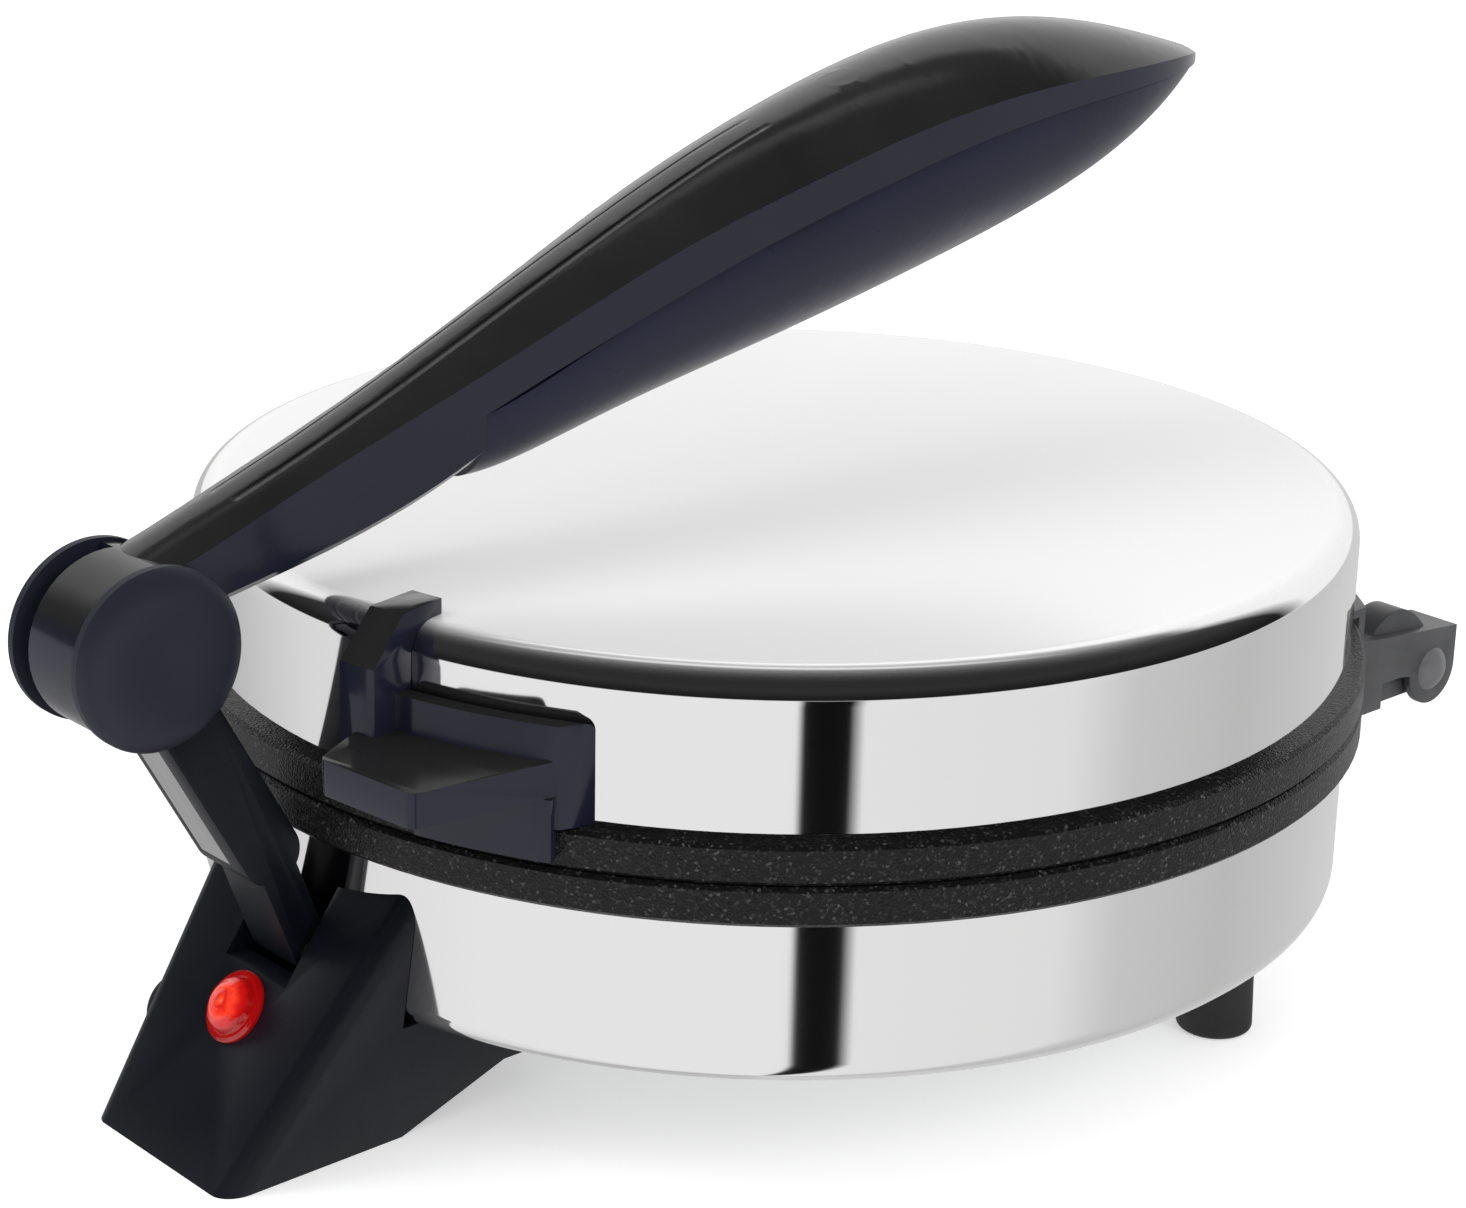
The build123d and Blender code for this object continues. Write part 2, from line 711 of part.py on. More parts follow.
# Swinging link: a slightly bent moulded bar with an eye at each end and a bright strip let in
link_run = pivot_y - link_bend_y
link_rise = pivot_z - link_bend_z
link_length = math.hypot(link_run, link_rise)
link_way = Vector(0, link_run / link_length, link_rise / link_length)
link_plane = Plane(origin=spot(0, link_bend_y, link_bend_z), x_dir=(1, 0, 0), z_dir=link_way)
strip_centre = (link_strip_width / 2 - link_half, link_strip_depth / 2 - link_depth / 2)
foot_run = link_bend_y - link_foot_y
foot_rise = link_bend_z - link_foot_z
foot_length = math.hypot(foot_run, foot_rise)
with BuildPart() as swing_link:
    with BuildSketch(side(-link_half)):
        with Locations(((pivot_y + link_bend_y) / 2, (pivot_z + link_bend_z) / 2)):
            SlotCenterToCenter(link_length, link_depth,
                               rotation=math.degrees(math.atan2(link_rise, link_run)))
        with Locations(((link_foot_y + link_bend_y) / 2, (link_foot_z + link_bend_z) / 2)):
            SlotCenterToCenter(foot_length, link_foot_eye * 2,
                               rotation=math.degrees(math.atan2(foot_rise, foot_run)))
        with Locations((pivot_y, pivot_z)):
            Circle(link_eye_top)
            Circle(pivot_pin_radius + running, mode=Mode.SUBTRACT)
        with Locations((link_foot_y, link_foot_z)):
            Circle(foot_pin_radius + running, mode=Mode.SUBTRACT)
    extrude(amount=link_half * 2)
    with BuildSketch(side(link_tang_inner)):
        with Locations((pivot_y, pivot_z)):
            Circle(barrel_radius + air)
    extrude(amount=link_half * 2, mode=Mode.SUBTRACT)
    with BuildSketch(side(link_tang_outer)):
        with Locations(((pivot_y + link_bend_y) / 2, (pivot_z + link_bend_z) / 2)):
            SlotCenterToCenter(link_length, link_depth,
                               rotation=math.degrees(math.atan2(link_rise, link_run)))
        with Locations((pivot_y, pivot_z)):
            Circle(link_eye_top)
            Circle(pivot_pin_radius + running, mode=Mode.SUBTRACT)
    extrude(amount=link_tang_inner - link_tang_outer)
    with BuildSketch(link_plane.offset(link_strip_start)):
        with Locations(strip_centre):
            Rectangle(link_strip_width, link_strip_depth)
    extrude(amount=link_length - link_strip_start - knob_radius, mode=Mode.SUBTRACT)
save(swing_link, "swing_link")

with BuildPart() as link_strip:
    with BuildSketch(link_plane.offset(link_strip_start)):
        with Locations(strip_centre):
            Rectangle(link_strip_width, link_strip_depth)
    extrude(amount=link_length - link_strip_start - knob_radius)
save(link_strip, "link_strip")

with BuildPart() as link_pin:
    with BuildSketch(side(-foot_pin_reach)):
        with Locations((link_foot_y, link_foot_z)):
            Circle(foot_pin_radius)
    extrude(amount=foot_pin_reach * 2)
save(link_pin, "link_pin")

# Handle pivot pin and the two knob caps that it carries
with BuildPart() as pivot_pin:
    with BuildSketch(side(-knob_half + knob_cap_sheet)):
        with Locations((pivot_y, pivot_z)):
            Circle(pivot_pin_radius)
    extrude(amount=(knob_half - knob_cap_sheet) * 2)
save(pivot_pin, "pivot_pin")

for cap_name, cap_side in (("right_knob_cap", 1), ("left_knob_cap", -1)):
    cap_start = knob_half - knob_cap_sheet
    cap_plane = Plane(origin=spot(0, pivot_y, pivot_z), x_dir=(0, 1, 0), z_dir=(0, 0, -cap_side))
    with BuildPart() as knob_cap:
        with BuildSketch(cap_plane):
            with BuildLine():
                Polyline(
                    (0, cap_start + knob_cap_sheet + knob_cap_dome),
                    (0, cap_start),
                    (knob_radius, cap_start),
                    (knob_radius, knob_half - knob_cap_dome / 2),
                )
                Spline(
                    (knob_radius, knob_half - knob_cap_dome / 2),
                    (0, knob_half + knob_cap_dome),
                    tangents=((-1, 2), (-1, 0)),
                )
            make_face()
        revolve(axis=Axis(cap_plane.origin, (cap_side, 0, 0)))
    save(knob_cap, cap_name)


def crowned(station, inset, foot_z):
    """Closed section of the handle's upper moulding at one station: upright sides under a crown."""
    y, half, parting, edge, crown = station
    reach = half - inset
    with BuildSketch(front(y)) as section:
        with BuildLine():
            Polyline((-reach, edge - inset), (-reach, foot_z), (reach, foot_z), (reach, edge - inset))
            ThreePointArc((reach, edge - inset), (0, crown - inset), (-reach, edge - inset))
        make_face()
    return section.sketch


def bellied(station, belly, inset):
    """Closed section of the lower cover at one station: flat at the parting, round below."""
    y, half, parting, edge, crown = station
    reach = half - parting_gap * 2 - inset
    brim = parting - parting_gap
    floor_z = belly + inset
    depth = brim - floor_z
    with BuildSketch(front(y)) as section:
        with BuildLine():
            Line((-reach, brim), (reach, brim))
            ThreePointArc((reach, brim), (reach * belly_side_share, brim - depth * belly_fall_share),
                          (0, floor_z))
            ThreePointArc((0, floor_z), (-reach * belly_side_share, brim - depth * belly_fall_share),
                          (-reach, brim))
        make_face()
    return section.sketch


def boxed(station, foot_z):
    """Closed section of the arm's lower half, drawn in a little at the parting line."""
    y, half, parting, edge, crown = station
    reach = half - arm_step
    with BuildSketch(front(y)) as section:
        with BuildLine():
            Polyline(
                (-reach, parting + arm_step),
                (-reach, foot_z + arm_chamfer),
                (-reach + arm_chamfer, foot_z),
                (reach - arm_chamfer, foot_z),
                (reach, foot_z + arm_chamfer),
                (reach, parting + arm_step),
                close=True,
            )
        make_face()
    return section.sketch


arm_count = len(arm_belly)
grip_stations = top_stations[arm_count - 1:]
arm_stations = top_stations[:arm_count]
bar_rise = bar_end_z - bar_start_z
bar_run = bar_end_y - bar_start_y
bar_length = math.hypot(bar_rise, bar_run)
bar_plane = Plane(origin=spot(0, bar_start_y, bar_start_z), x_dir=(1, 0, 0),
                  z_dir=(0, bar_run / bar_length, bar_rise / bar_length))

def screw_post(y, foot_z, head_z, radius):
    """Round post on the handle's middle plane, for a screw boss or a hole."""
    with BuildPart() as post:
        with BuildSketch(level(foot_z)):
            with Locations((0, y)):
                Circle(radius)
        extrude(amount=head_z - foot_z)
    return post.part


def bar_z(y):
    """Height of the steel bar's middle line at a station."""
    return bar_start_z + (y - bar_start_y) * bar_rise / bar_run


# Upper moulding of the handle, one piece with the barrel round the pivot
with BuildPart() as top_outer:
    loft([crowned(station, 0, station[2]) for station in top_stations])
with BuildPart() as top_bosses:
    for y in handle_screw_stations:
        add(screw_post(y, bar_z(y), bar_z(y) * 2, handle_boss_radius))
    add(top_outer.part, mode=Mode.INTERSECT)
with BuildPart() as handle_top:
    add(top_outer.part)
    with BuildPart(mode=Mode.PRIVATE) as arm_lower:
        loft([boxed(station, belly) for station, belly in zip(arm_stations, arm_belly)])
    add(arm_lower.part)
    with BuildPart(mode=Mode.PRIVATE) as top_hollow:
        loft([crowned(station, handle_wall, station[2] - overrun) for station in grip_stations[:-1]])
        with BuildSketch(level(0)):
            with Locations((0, grip_stations[0][0] + handle_wall - rim_radius / 2)):
                Rectangle(rim_radius, rim_radius)
        extrude(amount=rim_radius * 2, mode=Mode.SUBTRACT)
    add(top_hollow.part, mode=Mode.SUBTRACT)
    add(top_bosses.part)
    with BuildSketch(side(-knob_half + knob_cap_sheet + fit)):
        with Locations((pivot_y, pivot_z)):
            Circle(barrel_radius)
    extrude(amount=(knob_half - knob_cap_sheet - fit) * 2)
    with BuildSketch(side(-knob_half)):
        with Locations((pivot_y, pivot_z)):
            Circle(link_eye_top + air)
            for swing in (barrel_slot_near, barrel_slot_far):
                Rectangle(knob_radius * 4, knob_radius * 2, rotation=swing,
                          align=(Align.CENTER, Align.MAX))
    extrude(amount=knob_half + link_tang_inner + air, mode=Mode.SUBTRACT)
    with BuildSketch(side(-knob_half)):
        with Locations((pivot_y, pivot_z)):
            Circle(pivot_pin_radius + running)
    extrude(amount=knob_half * 2, mode=Mode.SUBTRACT)
    with BuildSketch(bar_plane):
        Rectangle(bar_half * 2 + fit * 2, bar_depth + fit * 2)
    extrude(amount=bar_length + fit, mode=Mode.SUBTRACT)
    for y in handle_screw_stations:
        screw_end = bar_z(y) + handle_screw_reach
        add(screw_post(y, bar_z(y), screw_end + fit, screw_radius), mode=Mode.SUBTRACT)
save(handle_top, "handle_top")


# Lower cover of the handle's grip, hollow, with two screw bosses up to the bar
with BuildPart() as handle_cover:
    loft([bellied(station, belly, 0) for station, belly in zip(grip_stations, cover_belly)])
    with BuildPart(mode=Mode.PRIVATE) as cover_outer:
        add(handle_cover.part)
    with BuildPart(mode=Mode.PRIVATE) as cover_hollow:
        loft([bellied(station, belly, handle_wall)
              for station, belly in zip(grip_stations[:-1], cover_belly[:-1])])
        with BuildSketch(level(0)):
            with Locations((0, grip_stations[0][0] + handle_wall - rim_radius / 2)):
                Rectangle(rim_radius, rim_radius)
        extrude(amount=rim_radius * 2, mode=Mode.SUBTRACT)
    add(cover_hollow.part, mode=Mode.SUBTRACT)
    with BuildPart(mode=Mode.PRIVATE) as cover_bosses:
        for y in handle_screw_stations:
            add(screw_post(y, 0, bar_z(y), handle_boss_radius))
        add(cover_outer.part, mode=Mode.INTERSECT)
    add(cover_bosses.part)
    with BuildSketch(bar_plane):
        Rectangle(bar_half * 2 + fit * 2, bar_depth + fit * 2)
    extrude(amount=bar_length + fit, mode=Mode.SUBTRACT)
    for y in handle_screw_stations:
        add(screw_post(y, 0, bar_z(y) * 2, screw_radius), mode=Mode.SUBTRACT)
        add(screw_post(y, 0, bar_z(y) - handle_screw_grip, screw_head + fit), mode=Mode.SUBTRACT)
save(handle_cover, "handle_cover")

# Steel bar inside the handle
with BuildPart() as handle_bar:
    with BuildSketch(bar_plane):
        Rectangle(bar_half * 2, bar_depth)
    extrude(amount=bar_length)
    for y in handle_screw_stations:
        add(screw_post(y, 0, bar_z(y) * 2, screw_radius), mode=Mode.SUBTRACT)
save(handle_bar, "handle_bar")

# Two screws that pull the cover up against the bar
with BuildPart() as handle_screws:
    for y in handle_screw_stations:
        head_top = bar_z(y) - handle_screw_grip
        add(screw_post(y, head_top - screw_head_height, head_top - running, screw_head))
        add(screw_post(y, head_top - screw_head_height, bar_z(y) + handle_screw_reach, screw_radius - fit))
save(handle_screws, "handle_screws")

# Lid grip: a curved plate on the lid's wall, a post over the shoulder, a shelf and an apron
grip_bore = wall_radius + fit
shoulder_reach = (lid_edge + fit) * math.sin(math.radians(45))
shoulder_middle = (wall_radius - lid_edge + shoulder_reach, lid_height - lid_edge + shoulder_reach)
with BuildPart() as lid_grip:
    with BuildSketch(level(grip_shelf_z - grip_shelf_thickness)):
        with BuildLine():
            Polyline(
                polar(wall_radius / 2, grip_start),
                polar(wall_radius * 2, grip_start),
                polar(wall_radius * 2, grip_wing_corner),
                polar(grip_bore + grip_plate, grip_wing_corner),
                polar(grip_bore, grip_end),
                polar(wall_radius / 2, grip_end),
                close=True,
            )
        make_face()
        Circle(grip_bore + grip_plate, mode=Mode.INTERSECT)
        Circle(grip_bore, mode=Mode.SUBTRACT)
    extrude(amount=grip_wing_top_z - grip_shelf_z + grip_shelf_thickness)
    extrude(lid_grip.faces().sort_by(Axis.Z)[0],
            amount=grip_shelf_z - grip_shelf_thickness - upper_rim_z - air)
    fillet(lid_grip.edges().group_by(Axis.Z)[-1].filter_by(GeomType.CIRCLE).sort_by(SortBy.LENGTH)[-1],
           grip_wing_round)
    with BuildSketch(radial(grip_start)):
        with BuildLine():
            Polyline(
                (grip_bore, grip_shelf_z - grip_shelf_thickness),
                (grip_bore + grip_post_plate, grip_shelf_z - grip_shelf_thickness),
                (grip_bore + grip_post_plate, grip_post_top_z - grip_post_round),
                (grip_bore + grip_post_plate - grip_post_round, grip_post_top_z),
                (grip_post_hook, grip_post_top_z),
                (grip_post_hook, lid_height + fit),
                (wall_radius - lid_edge, lid_height + fit),
            )
            ThreePointArc((wall_radius - lid_edge, lid_height + fit), shoulder_middle,
                          (grip_bore, lid_height - lid_edge))
            Line((grip_bore, lid_height - lid_edge), (grip_bore, grip_shelf_z - grip_shelf_thickness))
        make_face()
    revolve(axis=body_axis, revolution_arc=grip_post_arc)
    with BuildPart(mode=Mode.PRIVATE) as grip_shelf:
        with BuildSketch(level(grip_shelf_z - grip_shelf_thickness)):
            with BuildLine():
                Polyline(
                    polar(wall_radius / 2, grip_start),
                    polar(wall_radius, grip_start),
                    *[polar(radius, angle) for radius, angle in grip_shelf_corners],
                    polar(wall_radius / 2, grip_wing_corner),
                    close=True,
                )
            make_face()
            Circle(grip_bore, mode=Mode.SUBTRACT)
        extrude(amount=grip_shelf_thickness)
        fillet(grip_shelf.edges().filter_by(Axis.Z).filter_by(
            lambda e: math.hypot(e.center().X, e.center().Y - body_y) > rim_radius + grip_plate),
            grip_shelf_round)
    add(grip_shelf.part)
    with BuildSketch(level(grip_apron_foot_z)):
        with BuildLine():
            Polyline(
                (0, 0),
                polar(wall_radius * 2, grip_apron_start),
                polar(wall_radius * 2, grip_apron_end),
                close=True,
            )
        make_face()
        Circle(rim_radius + air + grip_apron_plate, mode=Mode.INTERSECT)
        Circle(rim_radius + air, mode=Mode.SUBTRACT)
    extrude(amount=grip_shelf_z - grip_shelf_thickness - grip_apron_foot_z)
    for angle in grip_screw_angles:
        with BuildSketch(outward(angle, wall_radius, grip_screw_z)):
            Circle(screw_radius)
        extrude(amount=grip_screw_depth, mode=Mode.SUBTRACT)
save(lid_grip, "lid_grip")

with BuildPart() as grip_screws:
    for angle in grip_screw_angles:
        with BuildSketch(outward(angle, wall_radius - sheet - fit, grip_screw_z)):
            Circle(screw_head)
        extrude(amount=-screw_head_height)
        with BuildSketch(outward(angle, wall_radius - sheet - fit, grip_screw_z)):
            Circle(screw_radius - fit)
        extrude(amount=sheet + grip_screw_depth)
save(grip_screws, "grip_screws")

# Twin rear hinges: each has a channel on the lid, a tongue on the base and one rivet
dome_radius = (rivet_head**2 + rivet_head_height**2) / (rivet_head_height * 2)
dome_turn = math.asin(rivet_head / dome_radius) / 2
rivet_arc_x = hinge_half + rivet_head_height - dome_radius * (1 - math.cos(dome_turn))
rivet_arc_y = dome_radius * math.sin(dome_turn)
hinge_slope = (hinge_top_end_z - hinge_top_z) / (hinge_y + hinge_nose - hinge_top_y)
hinge_end_y = hinge_y + hinge_nose


def hinge_top(y):
    """Height of a hinge channel's top face at a distance behind the body's axis."""
    return hinge_top_z + (y - hinge_top_y) * hinge_slope


for place, centre_x in (("right", hinge_x), ("left", -hinge_x)):
    root_y = hinge_top_y - hinge_leg_width
    near_x = centre_x - hinge_half
    with BuildPart() as hinge_channel:
        with BuildSketch(side(near_x)):
            with BuildLine():
                Polyline(
                    (root_y, hinge_bridge_z),
                    (hinge_top_y, hinge_bridge_z),
                    (hinge_top_y, hinge_top_z),
                    (hinge_end_y, hinge_top_end_z),
                    (hinge_end_y, hinge_z),
                )
                ThreePointArc((hinge_end_y, hinge_z), (hinge_y, hinge_z - hinge_nose),
                              (hinge_y - hinge_nose, hinge_z))
                Polyline(
                    (hinge_y - hinge_nose, hinge_z),
                    (hinge_leg_y + hinge_leg_width + hinge_notch_width, hinge_notch_top_z),
                    (hinge_leg_y + hinge_leg_width, hinge_notch_top_z),
                    (hinge_leg_y + hinge_leg_width, hinge_leg_z),
                    (hinge_leg_y, hinge_leg_z),
                    (root_y, hinge_leg_z),
                    (root_y, hinge_bridge_z),
                )
            make_face()
        extrude(amount=hinge_half * 2)
        with BuildSketch(level(upper_rim_z + air)):
            with Locations((centre_x, hinge_y)):
                Rectangle(hinge_half * 2, hinge_y)
            Circle(rim_radius + hinge_swing_air + hinge_sheet, mode=Mode.INTERSECT)
        extrude(amount=hinge_bridge_z - upper_rim_z - air)
        with BuildSketch(level(hinge_z)):
            with Locations((centre_x, hinge_y)):
                Rectangle(hinge_half * 2, hinge_y)
            Circle(rim_radius + hinge_swing_air + hinge_sheet, mode=Mode.INTERSECT)
            Circle(rim_radius + hinge_swing_air, mode=Mode.SUBTRACT)
        extrude(amount=hinge_bridge_z - hinge_z)
        with BuildPart(mode=Mode.PRIVATE) as channel_room:
            with BuildSketch(side(near_x + hinge_sheet)):
                with BuildLine():
                    Polyline(
                        (root_y, hinge_top(root_y) - hinge_sheet),
                        (hinge_end_y * 2, hinge_top(hinge_end_y * 2) - hinge_sheet),
                        (hinge_end_y * 2, hinge_z * 4),
                        (root_y, hinge_z * 4),
                        close=True,
                    )
                make_face()
            extrude(amount=hinge_half * 2 - hinge_sheet * 2)
        add(channel_room.part, mode=Mode.SUBTRACT)
        with BuildSketch(level(upper_rim_z + air)):
            with Locations((centre_x, hinge_y)):
                Rectangle(hinge_half * 2, hinge_y)
            Circle(wall_radius + fit + hinge_sheet, mode=Mode.INTERSECT)
        extrude(amount=hinge_pad_top_z - upper_rim_z - air)
        with BuildSketch(level(-seam_height)):
            Circle(rim_radius + hinge_swing_air)
        extrude(amount=seam_height + upper_rim_z + air, mode=Mode.SUBTRACT)
        with BuildSketch(level(0)):
            Circle(wall_radius + fit)
        extrude(amount=seam_height, mode=Mode.SUBTRACT)
        with BuildSketch(side(centre_x - hinge_boss_half)):
            with BuildLine():
                Spline(
                    (hinge_boss_start, hinge_top(hinge_boss_start) - hinge_sheet / 2),
                    (hinge_boss_peak, hinge_boss_peak_z),
                    (hinge_boss_end, hinge_top(hinge_boss_end) - hinge_sheet / 2),
                )
                Line((hinge_boss_end, hinge_top(hinge_boss_end) - hinge_sheet / 2),
                     (hinge_boss_start, hinge_top(hinge_boss_start) - hinge_sheet / 2))
            make_face()
        extrude(amount=hinge_boss_half * 2)
        with BuildSketch(side(near_x)):
            with Locations((hinge_y, hinge_z)):
                Circle(rivet_radius + fit)
        extrude(amount=hinge_half * 2, mode=Mode.SUBTRACT)
    save(hinge_channel, f"{place}_hinge_channel")

    with BuildPart() as hinge_tongue:
        with BuildSketch(side(centre_x - tongue_half)):
            with BuildLine():
                Polyline(
                    (root_y - hinge_leg_width, tongue_under_z),
                    (root_y - hinge_leg_width, tongue_top_z),
                    (hinge_y, tongue_top_z),
                    (hinge_y, tongue_under_z),
                    close=True,
                )
            make_face()
            with Locations((hinge_y, hinge_z)):
                Circle(tongue_eye)
                Circle(rivet_radius + running, mode=Mode.SUBTRACT)
        extrude(amount=tongue_half * 2)
        with BuildSketch(level(tongue_foot_z)):
            with Locations((centre_x, hinge_y)):
                Rectangle(hinge_half * 2, hinge_y)
            Circle(wall_radius + fit + hinge_sheet, mode=Mode.INTERSECT)
        extrude(amount=tongue_under_z - tongue_foot_z)
        with BuildSketch(level(-seam_height)):
            Circle(wall_radius + fit)
        extrude(amount=seam_height, mode=Mode.SUBTRACT)
    save(hinge_tongue, f"{place}_hinge_tongue")

    with BuildPart() as hinge_rivet:
        with BuildSketch(Plane(spot(centre_x, hinge_y, hinge_z), x_dir=(0, 1, 0), z_dir=(0, 0, -1))):
            with BuildLine():
                ThreePointArc((0, hinge_half + rivet_head_height), (rivet_arc_y, rivet_arc_x),
                              (rivet_head, hinge_half))
                Polyline(
                    (rivet_head, hinge_half),
                    (rivet_radius, hinge_half),
                    (rivet_radius, -hinge_half),
                    (rivet_head, -hinge_half),
                )
                ThreePointArc((rivet_head, -hinge_half), (rivet_arc_y, -rivet_arc_x),
                              (0, -hinge_half - rivet_head_height))
                Line((0, -hinge_half - rivet_head_height), (0, hinge_half + rivet_head_height))
            make_face()
        revolve(axis=Axis(spot(centre_x, hinge_y, hinge_z), (1, 0, 0)))
    save(hinge_rivet, f"{place}_hinge_rivet")
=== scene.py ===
import bpy
import bmesh
import json
import math
from mathutils import Matrix, Vector


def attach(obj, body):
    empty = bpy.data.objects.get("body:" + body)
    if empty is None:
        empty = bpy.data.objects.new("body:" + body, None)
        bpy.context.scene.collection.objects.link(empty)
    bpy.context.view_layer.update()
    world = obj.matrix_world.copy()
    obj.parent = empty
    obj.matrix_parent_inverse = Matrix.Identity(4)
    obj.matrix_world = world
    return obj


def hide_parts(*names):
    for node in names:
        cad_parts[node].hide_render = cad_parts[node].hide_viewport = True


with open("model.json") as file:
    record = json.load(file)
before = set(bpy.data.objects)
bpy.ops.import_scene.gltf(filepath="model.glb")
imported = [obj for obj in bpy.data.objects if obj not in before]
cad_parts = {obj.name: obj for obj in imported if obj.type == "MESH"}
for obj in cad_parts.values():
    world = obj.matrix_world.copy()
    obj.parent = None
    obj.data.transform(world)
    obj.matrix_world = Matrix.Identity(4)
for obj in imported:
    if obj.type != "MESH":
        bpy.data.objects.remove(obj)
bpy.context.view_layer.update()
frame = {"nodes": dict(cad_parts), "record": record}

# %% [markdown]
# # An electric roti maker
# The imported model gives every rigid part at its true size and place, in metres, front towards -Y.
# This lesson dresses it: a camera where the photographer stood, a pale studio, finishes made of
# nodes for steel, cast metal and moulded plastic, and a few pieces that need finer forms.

BODY_Y = 0.0218
SEAM = 0.064


def spot(x, y, z):
    """A point in millimetres from the body's axis and the seam, given back in metres."""
    return Vector((x / 1000, y / 1000 + BODY_Y, z / 1000 + SEAM))


# %% [markdown]
# ## The camera
# The photograph is a three-quarter view from the front right, a little from above, with a fairly
# long lens. The lens and the place were worked out from the round rims, whose ellipses fix both.
# A slight roll is kept, because the photograph has it.

# %% Camera
FOCAL_PIXELS = 3400
FRAME_PIXELS = 1466
camera_data = bpy.data.cameras.new("studio_camera")
camera_data.sensor_width = 36.0
camera_data.lens = FOCAL_PIXELS * camera_data.sensor_width / FRAME_PIXELS
camera = bpy.data.objects.new("studio_camera", camera_data)
bpy.context.scene.collection.objects.link(camera)
to_right = Vector((0.66940433, 0.74264212, 0.01950703))
to_top = Vector((-0.2597095, 0.20933488, 0.94272471))
to_back = Vector((0.69602358, -0.63613017, 0.33300088))
turn = Matrix((to_right, to_top, to_back)).transposed().to_4x4()
stand = Vector((0.4740708, -0.42240993, 0.30288174))
camera.matrix_world = Matrix.Translation(stand) @ turn
bpy.context.scene.camera = camera
bpy.context.scene.view_settings.view_transform = "Standard"
print("lens", round(camera_data.lens, 2), "mm")

# %% [markdown]
# ## The studio
# Product photographs of polished steel show the studio more than the steel. Cards could stand
# round the object, but a world whose colour depends on direction does the same with no clutter.
# Rays that come off glossy surfaces see pale paper below, a dark ceiling over the camera's side,
# a pale far wall, and one narrow dark post, which gives the black stripe on the steel wall.

# %% World
world = bpy.data.worlds.new("studio")
bpy.context.scene.world = world
world.use_nodes = True
tree = world.node_tree
tree.nodes.clear()


def math_node(tree, operation, a, b=None):
    """Adds a Math node; a and b are sockets or numbers."""
    node = tree.nodes.new("ShaderNodeMath")
    node.operation = operation
    for index, value in enumerate((a, b)):
        if value is None:
            continue
        if hasattr(value, "links"):
            tree.links.new(value, node.inputs[index])
        else:
            node.inputs[index].default_value = value
    return node.outputs[0]


def ramp_node(tree, factor, stops):
    """Adds a colour ramp with stops of (position, grey or colour)."""
    node = tree.nodes.new("ShaderNodeValToRGB")
    while len(node.color_ramp.elements) < len(stops):
        node.color_ramp.elements.new(0.5)
    for element, (position, tone) in zip(node.color_ramp.elements, stops):
        element.position = position
        element.color = (tone, tone, tone, 1) if isinstance(tone, (int, float)) else (*tone, 1)
    tree.links.new(factor, node.inputs[0])
    return node.outputs[0]


def mix_node(tree, factor, a, b, blend="MIX"):
    """Adds a colour Mix node; each value is a socket, a grey or a colour."""
    node = tree.nodes.new("ShaderNodeMix")
    node.data_type = "RGBA"
    node.blend_type = blend
    for index, value in ((0, factor), (6, a), (7, b)):
        if hasattr(value, "links"):
            tree.links.new(value, node.inputs[index])
        elif index == 0:
            node.inputs[index].default_value = value
        else:
            tone = (value,) * 3 if isinstance(value, (int, float)) else value
            node.inputs[index].default_value = tone + (1,)
    return node.outputs[2]


direction = tree.nodes.new("ShaderNodeTexCoord").outputs["Generated"]
split = tree.nodes.new("ShaderNodeSeparateXYZ")
tree.links.new(direction, split.inputs[0])
dir_x, dir_y, dir_z = split.outputs
# The camera stands in this direction. The turned compass reads 0.5 there and grows to its right
CAMERA_X = 0.738
CAMERA_Y = -0.6747
towards = math_node(tree, "ADD", math_node(tree, "MULTIPLY", dir_x, CAMERA_X),
                    math_node(tree, "MULTIPLY", dir_y, CAMERA_Y))
rightward = math_node(tree, "ADD", math_node(tree, "MULTIPLY", dir_x, -CAMERA_Y),
                      math_node(tree, "MULTIPLY", dir_y, CAMERA_X))
compass = math_node(tree, "ADD", math_node(tree, "DIVIDE",
                    math_node(tree, "ARCTAN2", rightward, towards), math.tau), 0.5)
low_ring = ramp_node(tree, compass, [
    (0.00, 0.62), (0.12, 0.50), (0.22, 0.80), (0.34, 0.93), (0.5145, 0.93), (0.5155, 0.006),
    (0.5425, 0.006), (0.5435, 0.90), (0.66, 0.86), (0.70, 0.66), (0.78, 0.58), (0.90, 0.70)])
height = math_node(tree, "ADD", math_node(tree, "MULTIPLY", dir_z, 0.5), 0.5)
near_side = ramp_node(tree, height, [
    (0.00, 0.93), (0.500, 0.93), (0.512, 0.012), (0.60, 0.015), (0.75, 0.03), (1.00, 0.02)])
far_side = ramp_node(tree, height, [
    (0.00, 0.90), (0.50, 0.95), (0.72, 0.98), (0.85, 0.95), (0.875, 0.05), (0.92, 0.05),
    (0.94, 0.95), (0.985, 0.95), (1.00, 0.03)])
is_near = ramp_node(tree, math_node(tree, "ADD", math_node(tree, "MULTIPLY", towards, 0.5), 0.5),
                    [(0.26, 0.0), (0.34, 1.0)])
dome = mix_node(tree, is_near, far_side, near_side)
below = ramp_node(tree, height, [(0.495, 1.0), (0.505, 0.0)])
seen_by_gloss = mix_node(tree, below, dome, mix_node(tree, 1.0, dome, low_ring, "MULTIPLY"))
rays = tree.nodes.new("ShaderNodeLightPath")
room = mix_node(tree, rays.outputs["Is Glossy Ray"], 0.90, seen_by_gloss)
sky = mix_node(tree, rays.outputs["Is Camera Ray"], room, 1.0)
paper = tree.nodes.new("ShaderNodeBackground")
tree.links.new(sky, paper.inputs[0])
tree.links.new(paper.outputs[0], tree.nodes.new("ShaderNodeOutputWorld").inputs[0])
print("world nodes", len(tree.nodes))

